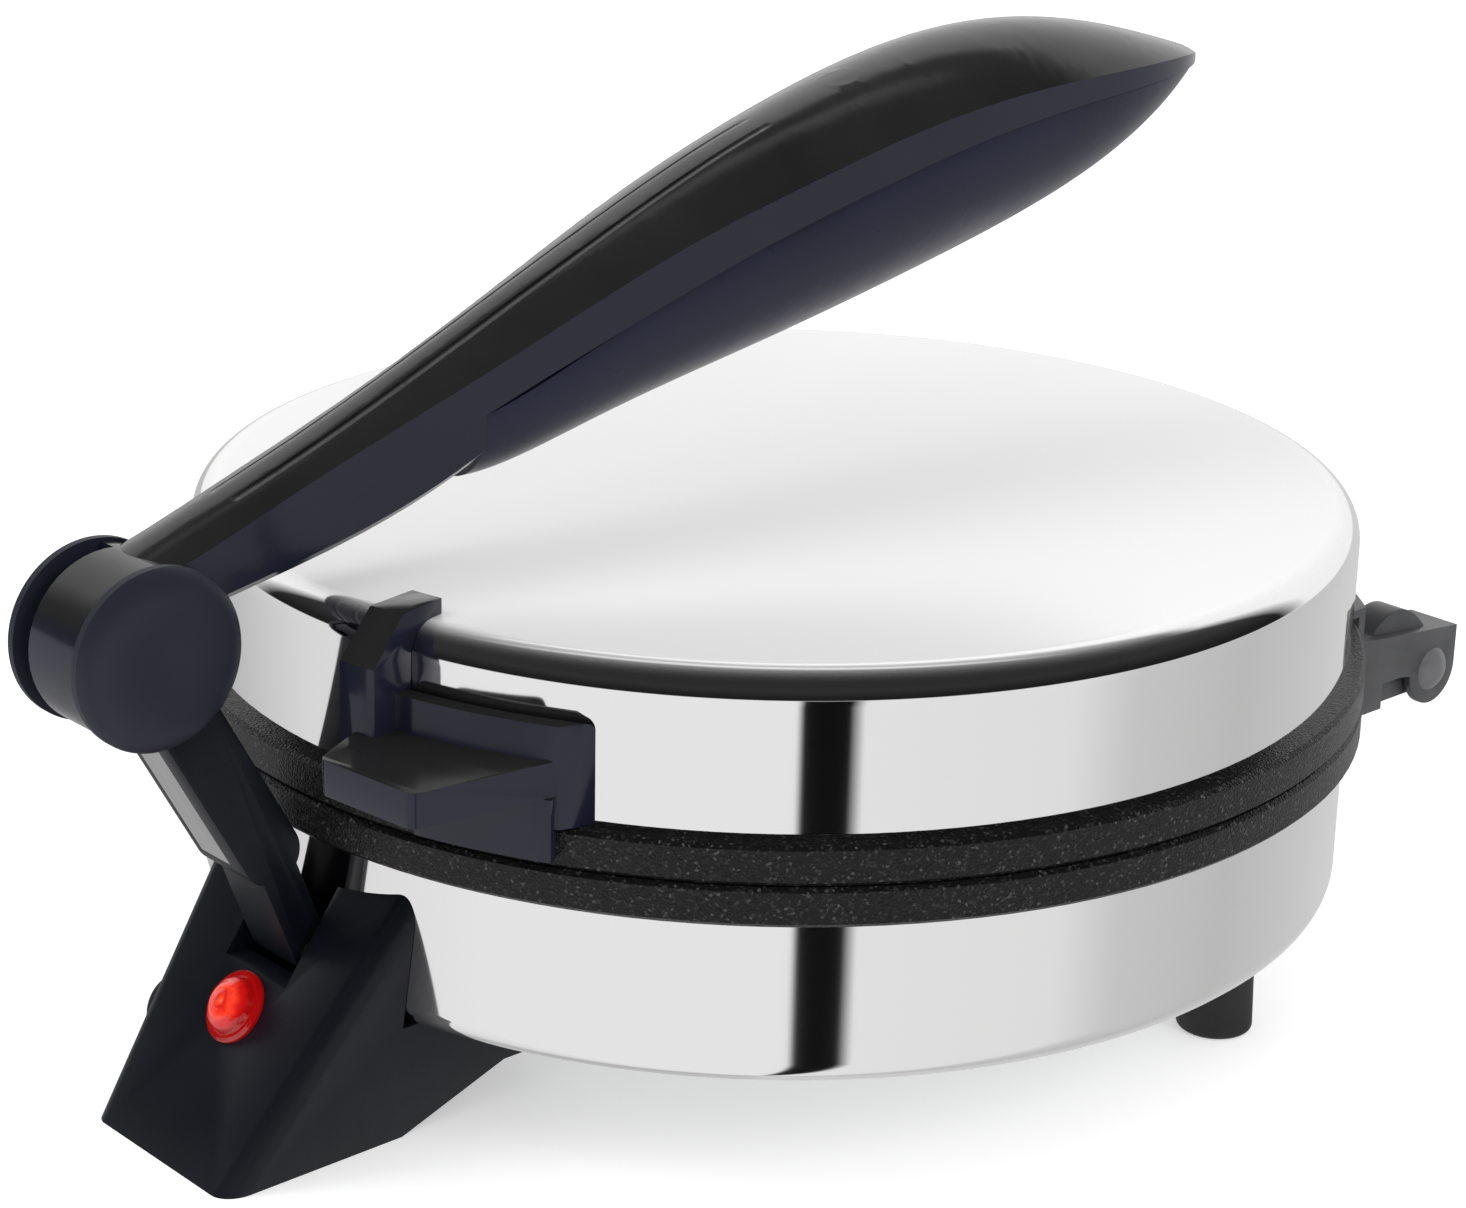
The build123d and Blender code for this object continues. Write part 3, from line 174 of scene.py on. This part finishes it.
# %% [markdown]
# ## The floor and the lamps
# The object stands on white paper. The floor is a large disc that glossy rays pass by, so the
# steel shows the world's paper tone instead, and it keeps the soft shadow under the object.

# %% Floor
FLOOR_RADIUS = 6.0
bpy.ops.object.select_all(action="DESELECT")
bpy.ops.mesh.primitive_circle_add(vertices=96, radius=FLOOR_RADIUS, fill_type="NGON")
floor = bpy.context.active_object
floor.name = "paper_floor"
floor.visible_glossy = False
floor_paper = bpy.data.materials.new("white_paper")
floor_paper.use_nodes = True
tree = floor_paper.node_tree
tree.nodes.clear()
rays = tree.nodes.new("ShaderNodeLightPath")
glow = tree.nodes.new("ShaderNodeEmission")
glow.inputs[0].default_value = (1, 1, 1, 1)
tree.links.new(math_node(tree, "MULTIPLY", rays.outputs["Is Camera Ray"], 0.45), glow.inputs[1])
matt = tree.nodes.new("ShaderNodeBsdfDiffuse")
matt.inputs[0].default_value = (0.80, 0.80, 0.80, 1)
both = tree.nodes.new("ShaderNodeAddShader")
tree.links.new(matt.outputs[0], both.inputs[0])
tree.links.new(glow.outputs[0], both.inputs[1])
tree.links.new(both.outputs[0], tree.nodes.new("ShaderNodeOutputMaterial").inputs[0])
floor.data.materials.append(floor_paper)
print("floor radius", FLOOR_RADIUS, "m")

# %% [markdown]
# Two soft lamps give the plastic its form: a wide one from the upper left and a narrower one from
# the right. Both are kept weak, because the paper room already lights the object evenly, and both
# are hidden from glossy rays, so that no square patch shows in the steel.

# %% Lamps


def soft_lamp(name, place, aim, size, power):
    """A square lamp that points at a spot."""
    data = bpy.data.lights.new(name, "AREA")
    data.size = size
    data.energy = power
    lamp = bpy.data.objects.new(name, data)
    bpy.context.scene.collection.objects.link(lamp)
    lamp.location = place
    lamp.visible_glossy = False
    lamp.rotation_euler = (Vector(aim) - Vector(place)).to_track_quat("-Z", "Y").to_euler()


soft_lamp("left_lamp", (-0.55, -0.75, 0.95), (0, 0, 0.08), 0.55, 4.0)
soft_lamp("right_lamp", (1.05, 0.15, 0.75), (0, 0, 0.08), 0.40, 2.5)
print("lamps", len(bpy.data.lights))

# %% [markdown]
# ## Finishes
# Each finish is one material of nodes. Patterns read Object coordinates, which are real metres
# here, so a grain of half a millimetre is half a millimetre on every part. A helper starts each
# material with the numbers that are the same all over the surface.

# %% A base for finishes


def finish(name, color, metallic=0.0, roughness=0.5, **sockets):
    """A Principled material with its uniform values; gives back material, tree and shader."""
    material = bpy.data.materials.new(name)
    material.use_nodes = True
    tree = material.node_tree
    tree.nodes.clear()
    shader = tree.nodes.new("ShaderNodeBsdfPrincipled")
    tree.links.new(shader.outputs[0], tree.nodes.new("ShaderNodeOutputMaterial").inputs[0])
    shader.inputs["Base Color"].default_value = (*color, 1)
    shader.inputs["Metallic"].default_value = metallic
    shader.inputs["Roughness"].default_value = roughness
    for key, value in sockets.items():
        shader.inputs[key.replace("_", " ")].default_value = value
    return material, tree, shader


def noise_on(tree, scale, detail, stretch=(1, 1, 1)):
    """A noise pattern on Object coordinates, in features per metre."""
    place = tree.nodes.new("ShaderNodeTexCoord").outputs["Object"]
    mapping = tree.nodes.new("ShaderNodeMapping")
    mapping.inputs["Scale"].default_value = stretch
    tree.links.new(place, mapping.inputs["Vector"])
    noise = tree.nodes.new("ShaderNodeTexNoise")
    noise.inputs["Scale"].default_value = scale
    noise.inputs["Detail"].default_value = detail
    tree.links.new(mapping.outputs[0], noise.inputs["Vector"])
    return noise.outputs["Fac"]


def bump_from(tree, shader, height, distance, strength=1.0):
    """Turns a height into a bump on the shader; distance is in metres."""
    bump = tree.nodes.new("ShaderNodeBump")
    bump.inputs["Distance"].default_value = distance
    bump.inputs["Strength"].default_value = strength
    tree.links.new(height, bump.inputs["Height"])
    tree.links.new(bump.outputs[0], shader.inputs["Normal"])


def tint_from(tree, shader, scale, detail, low, high):
    """Lets the base colour drift between two tones with a noise."""
    tint = ramp_node(tree, noise_on(tree, scale, detail), [low, high])
    tree.links.new(tint, shader.inputs["Base Color"])


def roughness_from(tree, shader, pattern, amount, least):
    """Lets the roughness follow a pattern, from a least value upwards."""
    spread = math_node(tree, "MULTIPLY", pattern, amount)
    tree.links.new(math_node(tree, "ADD", spread, least), shader.inputs["Roughness"])


# %% [markdown]
# Polished stainless sheet is a mirror on the drawn wall, and slightly satin on the flat top, where
# a polishing mop leaves fine rings. The surface normal tells the two apart, and the rings are a
# noise read by the distance from the body's axis. The mopped top also scatters light, so it takes
# part of its brightness from the whole room and hardly mirrors the handle above it.

# %% Polished steel
steel, tree, shader = finish("polished_steel", (0.90, 0.89, 0.89), metallic=1.0, roughness=0.06)
place = tree.nodes.new("ShaderNodeTexCoord").outputs["Object"]
centred = tree.nodes.new("ShaderNodeMapping")
centred.inputs["Location"].default_value = (0, -BODY_Y, 0)
tree.links.new(place, centred.inputs["Vector"])
flat = tree.nodes.new("ShaderNodeVectorMath")
flat.operation = "MULTIPLY"
flat.inputs[1].default_value = (1, 1, 0)
tree.links.new(centred.outputs[0], flat.inputs[0])
radius = tree.nodes.new("ShaderNodeVectorMath")
radius.operation = "LENGTH"
tree.links.new(flat.outputs[0], radius.inputs[0])
rings = tree.nodes.new("ShaderNodeTexNoise")
rings.noise_dimensions = "1D"
rings.inputs["Scale"].default_value = 900
rings.inputs["Detail"].default_value = 3
tree.links.new(radius.outputs["Value"], rings.inputs["W"])
normal = tree.nodes.new("ShaderNodeTexCoord").outputs["Normal"]
facing = tree.nodes.new("ShaderNodeSeparateXYZ")
tree.links.new(normal, facing.inputs[0])
upward = math_node(tree, "POWER", math_node(tree, "ABSOLUTE", facing.outputs[2]), 12.0)
satin = math_node(tree, "MULTIPLY", upward, math_node(tree, "ADD",
                  math_node(tree, "MULTIPLY", rings.outputs["Fac"], 0.03), 0.12))
smears = noise_on(tree, 14, 3)
tree.links.new(math_node(tree, "ADD", satin, math_node(tree, "ADD",
               math_node(tree, "MULTIPLY", smears, 0.05), 0.03)), shader.inputs["Roughness"])
tree.links.new(math_node(tree, "SUBTRACT", 1.0, math_node(tree, "MULTIPLY", upward, 0.85)),
               shader.inputs["Metallic"])
bump_from(tree, shader, noise_on(tree, 9, 1), 0.00003)
print(steel.name, len(tree.nodes), "nodes")

# %% [markdown]
# The cast rims and plates carry a black coating with a fine orange-peel grain. A cell pattern gives
# the grains, and a few of them get a lighter colour as painted glints, where single grains catch
# the light.

# %% Coated cast metal
coating, tree, shader = finish("coated_cast_metal", (0.012, 0.012, 0.014), roughness=0.36,
                               IOR=1.5, Specular_IOR_Level=0.28)
place = tree.nodes.new("ShaderNodeTexCoord").outputs["Object"]
cells = tree.nodes.new("ShaderNodeTexVoronoi")
cells.inputs["Scale"].default_value = 2100
tree.links.new(place, cells.inputs["Vector"])
grain = math_node(tree, "ADD", math_node(tree, "MULTIPLY", cells.outputs["Distance"], 0.7),
                  math_node(tree, "MULTIPLY", noise_on(tree, 900, 3), 0.6))
bump_from(tree, shader, grain, 0.00025, 0.7)
# painted glints: a few random cells get a lighter base colour, standing in for grains that catch
# the light
painted_glint_pick = tree.nodes.new("ShaderNodeSeparateColor")
tree.links.new(cells.outputs["Color"], painted_glint_pick.inputs[0])
painted_glint_tone = ramp_node(tree, painted_glint_pick.outputs[0], [
    (0.0, 0.005), (0.80, 0.009), (0.95, 0.030), (1.0, 0.075)])
tree.links.new(painted_glint_tone, shader.inputs["Base Color"])
print(coating.name, len(tree.nodes), "nodes")

# %% [markdown]
# The handle and the grip are glossy heat-resistant mouldings, blue-black on their flanks. Faces
# that point up get a warmer grey as a painted sheen. Real mouldings are never quite flat, so a
# wide, very shallow bump bends their reflections. Two fine grooves run along the arm, either side
# of its middle, and the same bump draws them.

# %% Glossy black plastic
gloss, tree, shader = finish("gloss_black_plastic", (0.0120, 0.0130, 0.0270), roughness=0.14,
                             IOR=1.5, Specular_IOR_Level=0.30, Coat_Weight=0.10,
                             Coat_Roughness=0.06)
flank = ramp_node(tree, noise_on(tree, 22, 2), [
    (0.3, (0.0105, 0.0115, 0.0240)), (0.7, (0.0145, 0.0155, 0.0310))])
# painted sheen: faces that point up get a lighter, warmer grey than the blue-black flanks
painted_sheen_grey = ramp_node(tree, noise_on(tree, 30, 3), [
    (0.3, (0.0130, 0.0130, 0.0135)), (0.7, (0.0200, 0.0200, 0.0195))])
facing = tree.nodes.new("ShaderNodeSeparateXYZ")
tree.links.new(tree.nodes.new("ShaderNodeTexCoord").outputs["Normal"], facing.inputs[0])
faces_up_sheen_mask = ramp_node(tree, facing.outputs[2], [(0.30, 0.0), (0.55, 1.0)])
tree.links.new(mix_node(tree, faces_up_sheen_mask, flank, painted_sheen_grey), shader.inputs["Base Color"])
roughness_from(tree, shader, noise_on(tree, 160, 3), 0.10, 0.12)
place = tree.nodes.new("ShaderNodeSeparateXYZ")
tree.links.new(tree.nodes.new("ShaderNodeTexCoord").outputs["Object"], place.inputs[0])
off_middle = math_node(tree, "MULTIPLY", math_node(tree, "ABSOLUTE", place.outputs[0]), 100.0)
along = math_node(tree, "ADD", math_node(tree, "MULTIPLY", place.outputs[1], 4.0), 0.5)
groove = ramp_node(tree, off_middle, [
    (0.00, 1.0), (0.22, 1.0), (0.29, 0.0), (0.33, 0.0), (0.40, 1.0), (1.0, 1.0)])
reach = ramp_node(tree, along, [(0.06, 0.0), (0.12, 1.0), (0.46, 1.0), (0.56, 0.0)])
cut = math_node(tree, "MULTIPLY", math_node(tree, "SUBTRACT", 1.0, groove), reach)
form = math_node(tree, "SUBTRACT", math_node(tree, "MULTIPLY", noise_on(tree, 45, 1), 0.10), cut)
bump_from(tree, shader, form, 0.0022)
print(gloss.name, len(tree.nodes), "nodes")

# %% [markdown]
# The lower cover of the handle is moulded from a batch with more blue in it, and it is a little
# less glossy than the top, so the parting line shows as a change of colour.

# %% Navy moulding of the cover
navy, tree, shader = finish("navy_cover_plastic", (0.008, 0.010, 0.034), roughness=0.30,
                            IOR=1.5, Specular_IOR_Level=0.32)
tint_from(tree, shader, 26, 2, (0.3, (0.0085, 0.0098, 0.0260)), (0.7, (0.0125, 0.0140, 0.0350)))
roughness_from(tree, shader, noise_on(tree, 180, 3), 0.12, 0.24)
bump_from(tree, shader, noise_on(tree, 60, 1), 0.00010)
print(navy.name, len(tree.nodes), "nodes")

# %% [markdown]
# The control block and the link are satin mouldings in the same blue-black. Their mould is eroded,
# so the surface has a fine, even grain.

# %% Satin black plastic
satin_black, tree, shader = finish("satin_black_plastic", (0.006, 0.007, 0.012), roughness=0.42,
                                   IOR=1.48, Specular_IOR_Level=0.24)
tint_from(tree, shader, 30, 3, (0.3, (0.0040, 0.0050, 0.0090)), (0.7, (0.0065, 0.0078, 0.0135)))
roughness_from(tree, shader, noise_on(tree, 220, 3), 0.14, 0.34)
bump_from(tree, shader, noise_on(tree, 2600, 2), 0.00004, 0.6)
print(satin_black.name, len(tree.nodes), "nodes")

# %% [markdown]
# The knob caps are the same moulding with more blue in it and a softer skin, so that they show a
# broad, dim highlight.

# %% Knob moulding
knob_navy, tree, shader = finish("knob_cap_plastic", (0.017, 0.019, 0.033), roughness=0.48,
                                 IOR=1.48, Specular_IOR_Level=0.34)
tint_from(tree, shader, 34, 3, (0.3, (0.0150, 0.0165, 0.0290)), (0.7, (0.0195, 0.0215, 0.0370)))
bump_from(tree, shader, noise_on(tree, 2600, 2), 0.00004, 0.5)
print(knob_navy.name, len(tree.nodes), "nodes")

# %% [markdown]
# Plain metals: dull heater tube, zinc-plated sheet and screws, drawn flat bar, and the bright strip
# in the link. They share one recipe with their own colour, gloss and direction of drawing.

# %% Plain metals


def plain_metal(name, color, roughness, stretch, depth):
    """A metal with drawn or rolled streaks along one direction."""
    material, tree, shader = finish(name, color, metallic=1.0, roughness=roughness)
    streaks = noise_on(tree, 600, 4, stretch)
    roughness_from(tree, shader, streaks, 0.22, roughness - 0.08)
    low = tuple(part * 0.86 for part in color)
    tint_from(tree, shader, 70, 4, (0.35, low), (0.65, color))
    bump_from(tree, shader, streaks, depth)
    print(name, len(tree.nodes), "nodes")
    return material


heater_steel = plain_metal("heater_steel", (0.36, 0.33, 0.30), 0.42, (1, 1, 1), 0.00003)
zinc = plain_metal("zinc_sheet", (0.62, 0.64, 0.66), 0.34, (0.1, 1, 1), 0.00002)
screw_steel = plain_metal("screw_steel", (0.66, 0.66, 0.64), 0.28, (1, 1, 1), 0.00001)
bar_steel = plain_metal("bar_steel", (0.52, 0.52, 0.53), 0.32, (1, 0.05, 1), 0.00002)
strip_metal = plain_metal("bright_strip", (0.62, 0.62, 0.62), 0.26, (1, 0.06, 0.03), 0.000006)
fuse_metal = plain_metal("fuse_metal", (0.70, 0.70, 0.72), 0.30, (0.1, 1, 1), 0.00001)

# %% [markdown]
# The hinge channels are folded sheet with dark grey paint in soft, slightly dusty random patches,
# and the rivets are set after painting, so they are paler.

# %% Hinge paint and rivets


def paint(name, dark, light, roughness):
    """Painted sheet with soft patches and an orange-peel surface."""
    material, tree, shader = finish(name, dark, roughness=roughness, IOR=1.5)
    tint_from(tree, shader, 120, 4, (0.35, dark), (0.70, light))
    bump_from(tree, shader, noise_on(tree, 700, 2), 0.00003)
    print(name, len(tree.nodes), "nodes")
    return material


hinge_paint = paint("hinge_paint", (0.050, 0.051, 0.054), (0.072, 0.073, 0.078), 0.36)
rivet_paint = paint("rivet_paint", (0.130, 0.130, 0.135), (0.175, 0.175, 0.180), 0.33)

# %% [markdown]
# Rubber, brown heat-resistant moulding and pale nylon are dull plastics with a dusty surface.

# %% Dull mouldings
rubber = paint("black_rubber", (0.010, 0.010, 0.011), (0.022, 0.022, 0.023), 0.62)
control_brown = paint("control_plastic", (0.055, 0.035, 0.024), (0.085, 0.055, 0.040), 0.50)
nylon = paint("terminal_plastic", (0.66, 0.64, 0.58), (0.76, 0.74, 0.68), 0.48)

# %% [markdown]
# The indicator is clear red plastic with moulded rings. Light gets in and comes back off its inner
# facets; a painted glow in rings, brightest at the middle, imitates it, under a hard, glossy skin.

# %% Red lens
lens_middle = spot(0, -134.0, -37.6)
red_lens, tree, shader = finish("red_lens", (0.75, 0.010, 0.008), roughness=0.08, IOR=1.49,
                                Coat_Weight=0.6, Coat_Roughness=0.04, Transmission_Weight=0.10)
place = tree.nodes.new("ShaderNodeTexCoord").outputs["Object"]
centred = tree.nodes.new("ShaderNodeVectorMath")
centred.operation = "DISTANCE"
centred.inputs[1].default_value = lens_middle
tree.links.new(place, centred.inputs[0])
facets = tree.nodes.new("ShaderNodeTexVoronoi")
facets.inputs["Scale"].default_value = 520
tree.links.new(place, facets.inputs["Vector"])
rings = math_node(tree, "ADD", centred.outputs["Value"],
                  math_node(tree, "MULTIPLY", facets.outputs["Distance"], 0.0010))
# painted glow: ring colours, brightest at the middle, go into the base colour and into a faint
# emission
painted_ring_glow = ramp_node(tree, math_node(tree, "MULTIPLY", rings, 100.0), [
    (0.00, (1.0, 0.30, 0.10)), (0.16, (0.98, 0.10, 0.03)), (0.26, (0.62, 0.01, 0.006)),
    (0.36, (0.92, 0.05, 0.02)), (0.48, (0.60, 0.006, 0.005)), (0.60, (0.34, 0.002, 0.002))])
tree.links.new(painted_ring_glow, shader.inputs["Base Color"])
tree.links.new(painted_ring_glow, shader.inputs["Emission Color"])
shader.inputs["Emission Strength"].default_value = 0.30
wave = math_node(tree, "SINE", math_node(tree, "MULTIPLY", centred.outputs["Value"], 4200.0))
bump_from(tree, shader, wave, 0.00012, 0.6)
print(red_lens.name, len(tree.nodes), "nodes")

# %% [markdown]
# Behind the lens sits a small neon lamp of clear, faintly orange glass.

# %% Lamp glass
lamp_glass, tree, shader = finish("lamp_glass", (0.95, 0.80, 0.62), roughness=0.05, IOR=1.5,
                                  Transmission_Weight=0.8)
tint_from(tree, shader, 260, 2, (0.3, (0.95, 0.78, 0.60)), (0.7, (0.98, 0.88, 0.74)))
print(lamp_glass.name, len(tree.nodes), "nodes")

# %% [markdown]
# ## Dressing the parts
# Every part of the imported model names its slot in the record, so one loop gives each its finish.

# %% Finishes onto parts
finishes = {
    "polished_steel": steel, "coated_cast_metal": coating, "heater_steel": heater_steel,
    "zinc_sheet": zinc, "screw_steel": screw_steel, "bar_steel": bar_steel,
    "bright_strip": strip_metal, "satin_black_plastic": satin_black,
    "gloss_black_plastic": gloss, "hinge_paint": hinge_paint, "rivet_paint": rivet_paint,
    "red_lens": red_lens, "lamp_glass": lamp_glass, "black_rubber": rubber,
    "control_plastic": control_brown, "fuse_metal": fuse_metal, "terminal_plastic": nylon,
}
special = {"handle_cover": navy, "right_knob_cap": knob_navy, "left_knob_cap": knob_navy}
slot_of = {part["node"]: part["material_slot"] for part in frame["record"]["subparts"]}
for node, part in frame["nodes"].items():
    material = special.get(node, finishes[slot_of[node]])
    if part.material_slots:
        for slot in part.material_slots:
            slot.material = material
    else:
        part.data.materials.append(material)
print("dressed", len(slot_of), "parts")

# %% [markdown]
# ## Softened mouldings
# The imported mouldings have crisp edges, but a moulded or folded part never does, and a crisp edge
# catches no light. Each of these parts gets a copy whose loose triangles are merged, whose flat
# faces are joined, and whose edges are bevelled with two segments. The copy stays inside the box.

# %% Softened copies
MERGE_WITHIN = 0.00002
FLAT_WITHIN = math.radians(1.0)
SHARP_FROM = math.radians(32.0)
SMOOTH_TO = math.radians(38.0)


def soften(node, width):
    """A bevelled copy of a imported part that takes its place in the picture."""
    bpy.ops.object.select_all(action="DESELECT")
    source = frame["nodes"][node]
    piece = source.copy()
    piece.data = source.data.copy()
    piece.name = node + "_soft"
    bpy.context.scene.collection.objects.link(piece)
    bpy.context.view_layer.objects.active = piece
    piece.select_set(True)
    bpy.ops.object.mode_set(mode="EDIT")
    bpy.ops.mesh.select_all(action="SELECT")
    bpy.ops.mesh.remove_doubles(threshold=MERGE_WITHIN)
    bpy.ops.mesh.dissolve_limited(angle_limit=FLAT_WITHIN)
    bpy.ops.object.mode_set(mode="OBJECT")
    bevel = piece.modifiers.new("soft_edges", "BEVEL")
    bevel.width = width
    bevel.segments = 2
    bevel.limit_method = "ANGLE"
    bevel.angle_limit = SHARP_FROM
    bevel.use_clamp_overlap = True
    bpy.ops.object.modifier_apply(modifier="soft_edges")
    bpy.ops.object.shade_smooth_by_angle(angle=SMOOTH_TO)
    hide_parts(node)
    print(piece.name, len(piece.data.polygons), "faces")


for node, width in (("lid_grip", 0.0011), ("control_block", 0.0010), ("swing_link", 0.0008),
                    ("right_hinge_channel", 0.0004), ("left_hinge_channel", 0.0004)):
    soften(node, width)

# %% [markdown]
# ## Steel shells with an even surface
# A mirror shows every facet of a mesh. The two shells are therefore turned again, finely: a
# cylinder of 256 sides whose outer rim is bevelled in many steps, whose open end keeps a narrow
# lip, and which is given the thickness of the sheet, inwards. A thin inset ring keeps the flat top
# truly flat in its shading. Only the cap is larger than ten square centimetres, which tells it from
# the steps of the edge.

# %% Turned shells
SIDES = 256
EDGE_STEPS = 14
SHEET = 0.001
LIP = 0.007
FLAT_RING = 0.0003
CAP_AREA = 0.001


def select_faces(piece, wanted):
    """Selects, in edit mode, just the faces that pass a test."""
    bpy.ops.mesh.select_all(action="DESELECT")
    mesh = bmesh.from_edit_mesh(piece.data)
    for face in mesh.faces:
        face.select = wanted(face)
    bmesh.update_edit_mesh(piece.data)


def turned_shell(node, body, low, high, radius, edge, opening, closed):
    """A steel cup on the body's axis, between two heights from the seam, in metres.

    Closed is 1 for a closed top and -1 for a closed bottom. That end has a rounded edge and can
    have an opening of a given radius in its middle. The other end keeps only a lip.
    """
    bpy.ops.object.select_all(action="DESELECT")
    bpy.ops.mesh.primitive_cylinder_add(vertices=SIDES, radius=radius, depth=high - low,
                                        location=(0, BODY_Y, SEAM + (low + high) / 2))
    piece = bpy.context.active_object
    piece.name = node + "_turned"
    bpy.ops.object.transform_apply(location=True, rotation=True, scale=True)
    bpy.ops.object.mode_set(mode="EDIT")
    bpy.ops.mesh.select_mode(type="FACE")
    for end in (1, -1):
        select_faces(piece, lambda face: face.normal.z * end > 0.5)
        if end != closed:
            bpy.ops.mesh.inset(thickness=LIP)
            bpy.ops.mesh.delete(type="FACE")
            continue
        bpy.ops.mesh.bevel(offset=edge, offset_type="OFFSET", segments=EDGE_STEPS,
                           affect="EDGES")
        select_faces(piece, lambda face: (face.normal.z * end > 0.9999
                                          and face.calc_area() > CAP_AREA))
        bpy.ops.mesh.inset(thickness=FLAT_RING)
        if opening:
            bpy.ops.mesh.inset(thickness=radius - edge - FLAT_RING - opening)
            bpy.ops.mesh.delete(type="FACE")
    bpy.ops.object.mode_set(mode="OBJECT")
    wall = piece.modifiers.new("sheet", "SOLIDIFY")
    wall.thickness = SHEET
    wall.offset = -1.0
    bpy.ops.object.modifier_apply(modifier="sheet")
    bpy.ops.object.shade_smooth_by_angle(angle=math.radians(40.0))
    piece.data.materials.append(steel)
    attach(piece, body)
    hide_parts(node)
    print(piece.name, len(piece.data.polygons), "faces")


turned_shell("lid_shell", "lid", low=0.0078, high=0.0380, radius=0.1156, edge=0.006,
             opening=0.0, closed=1)
turned_shell("base_shell", "base", low=-0.0400, high=-0.0075, radius=0.1156, edge=0.005,
             opening=0.0856, closed=-1)
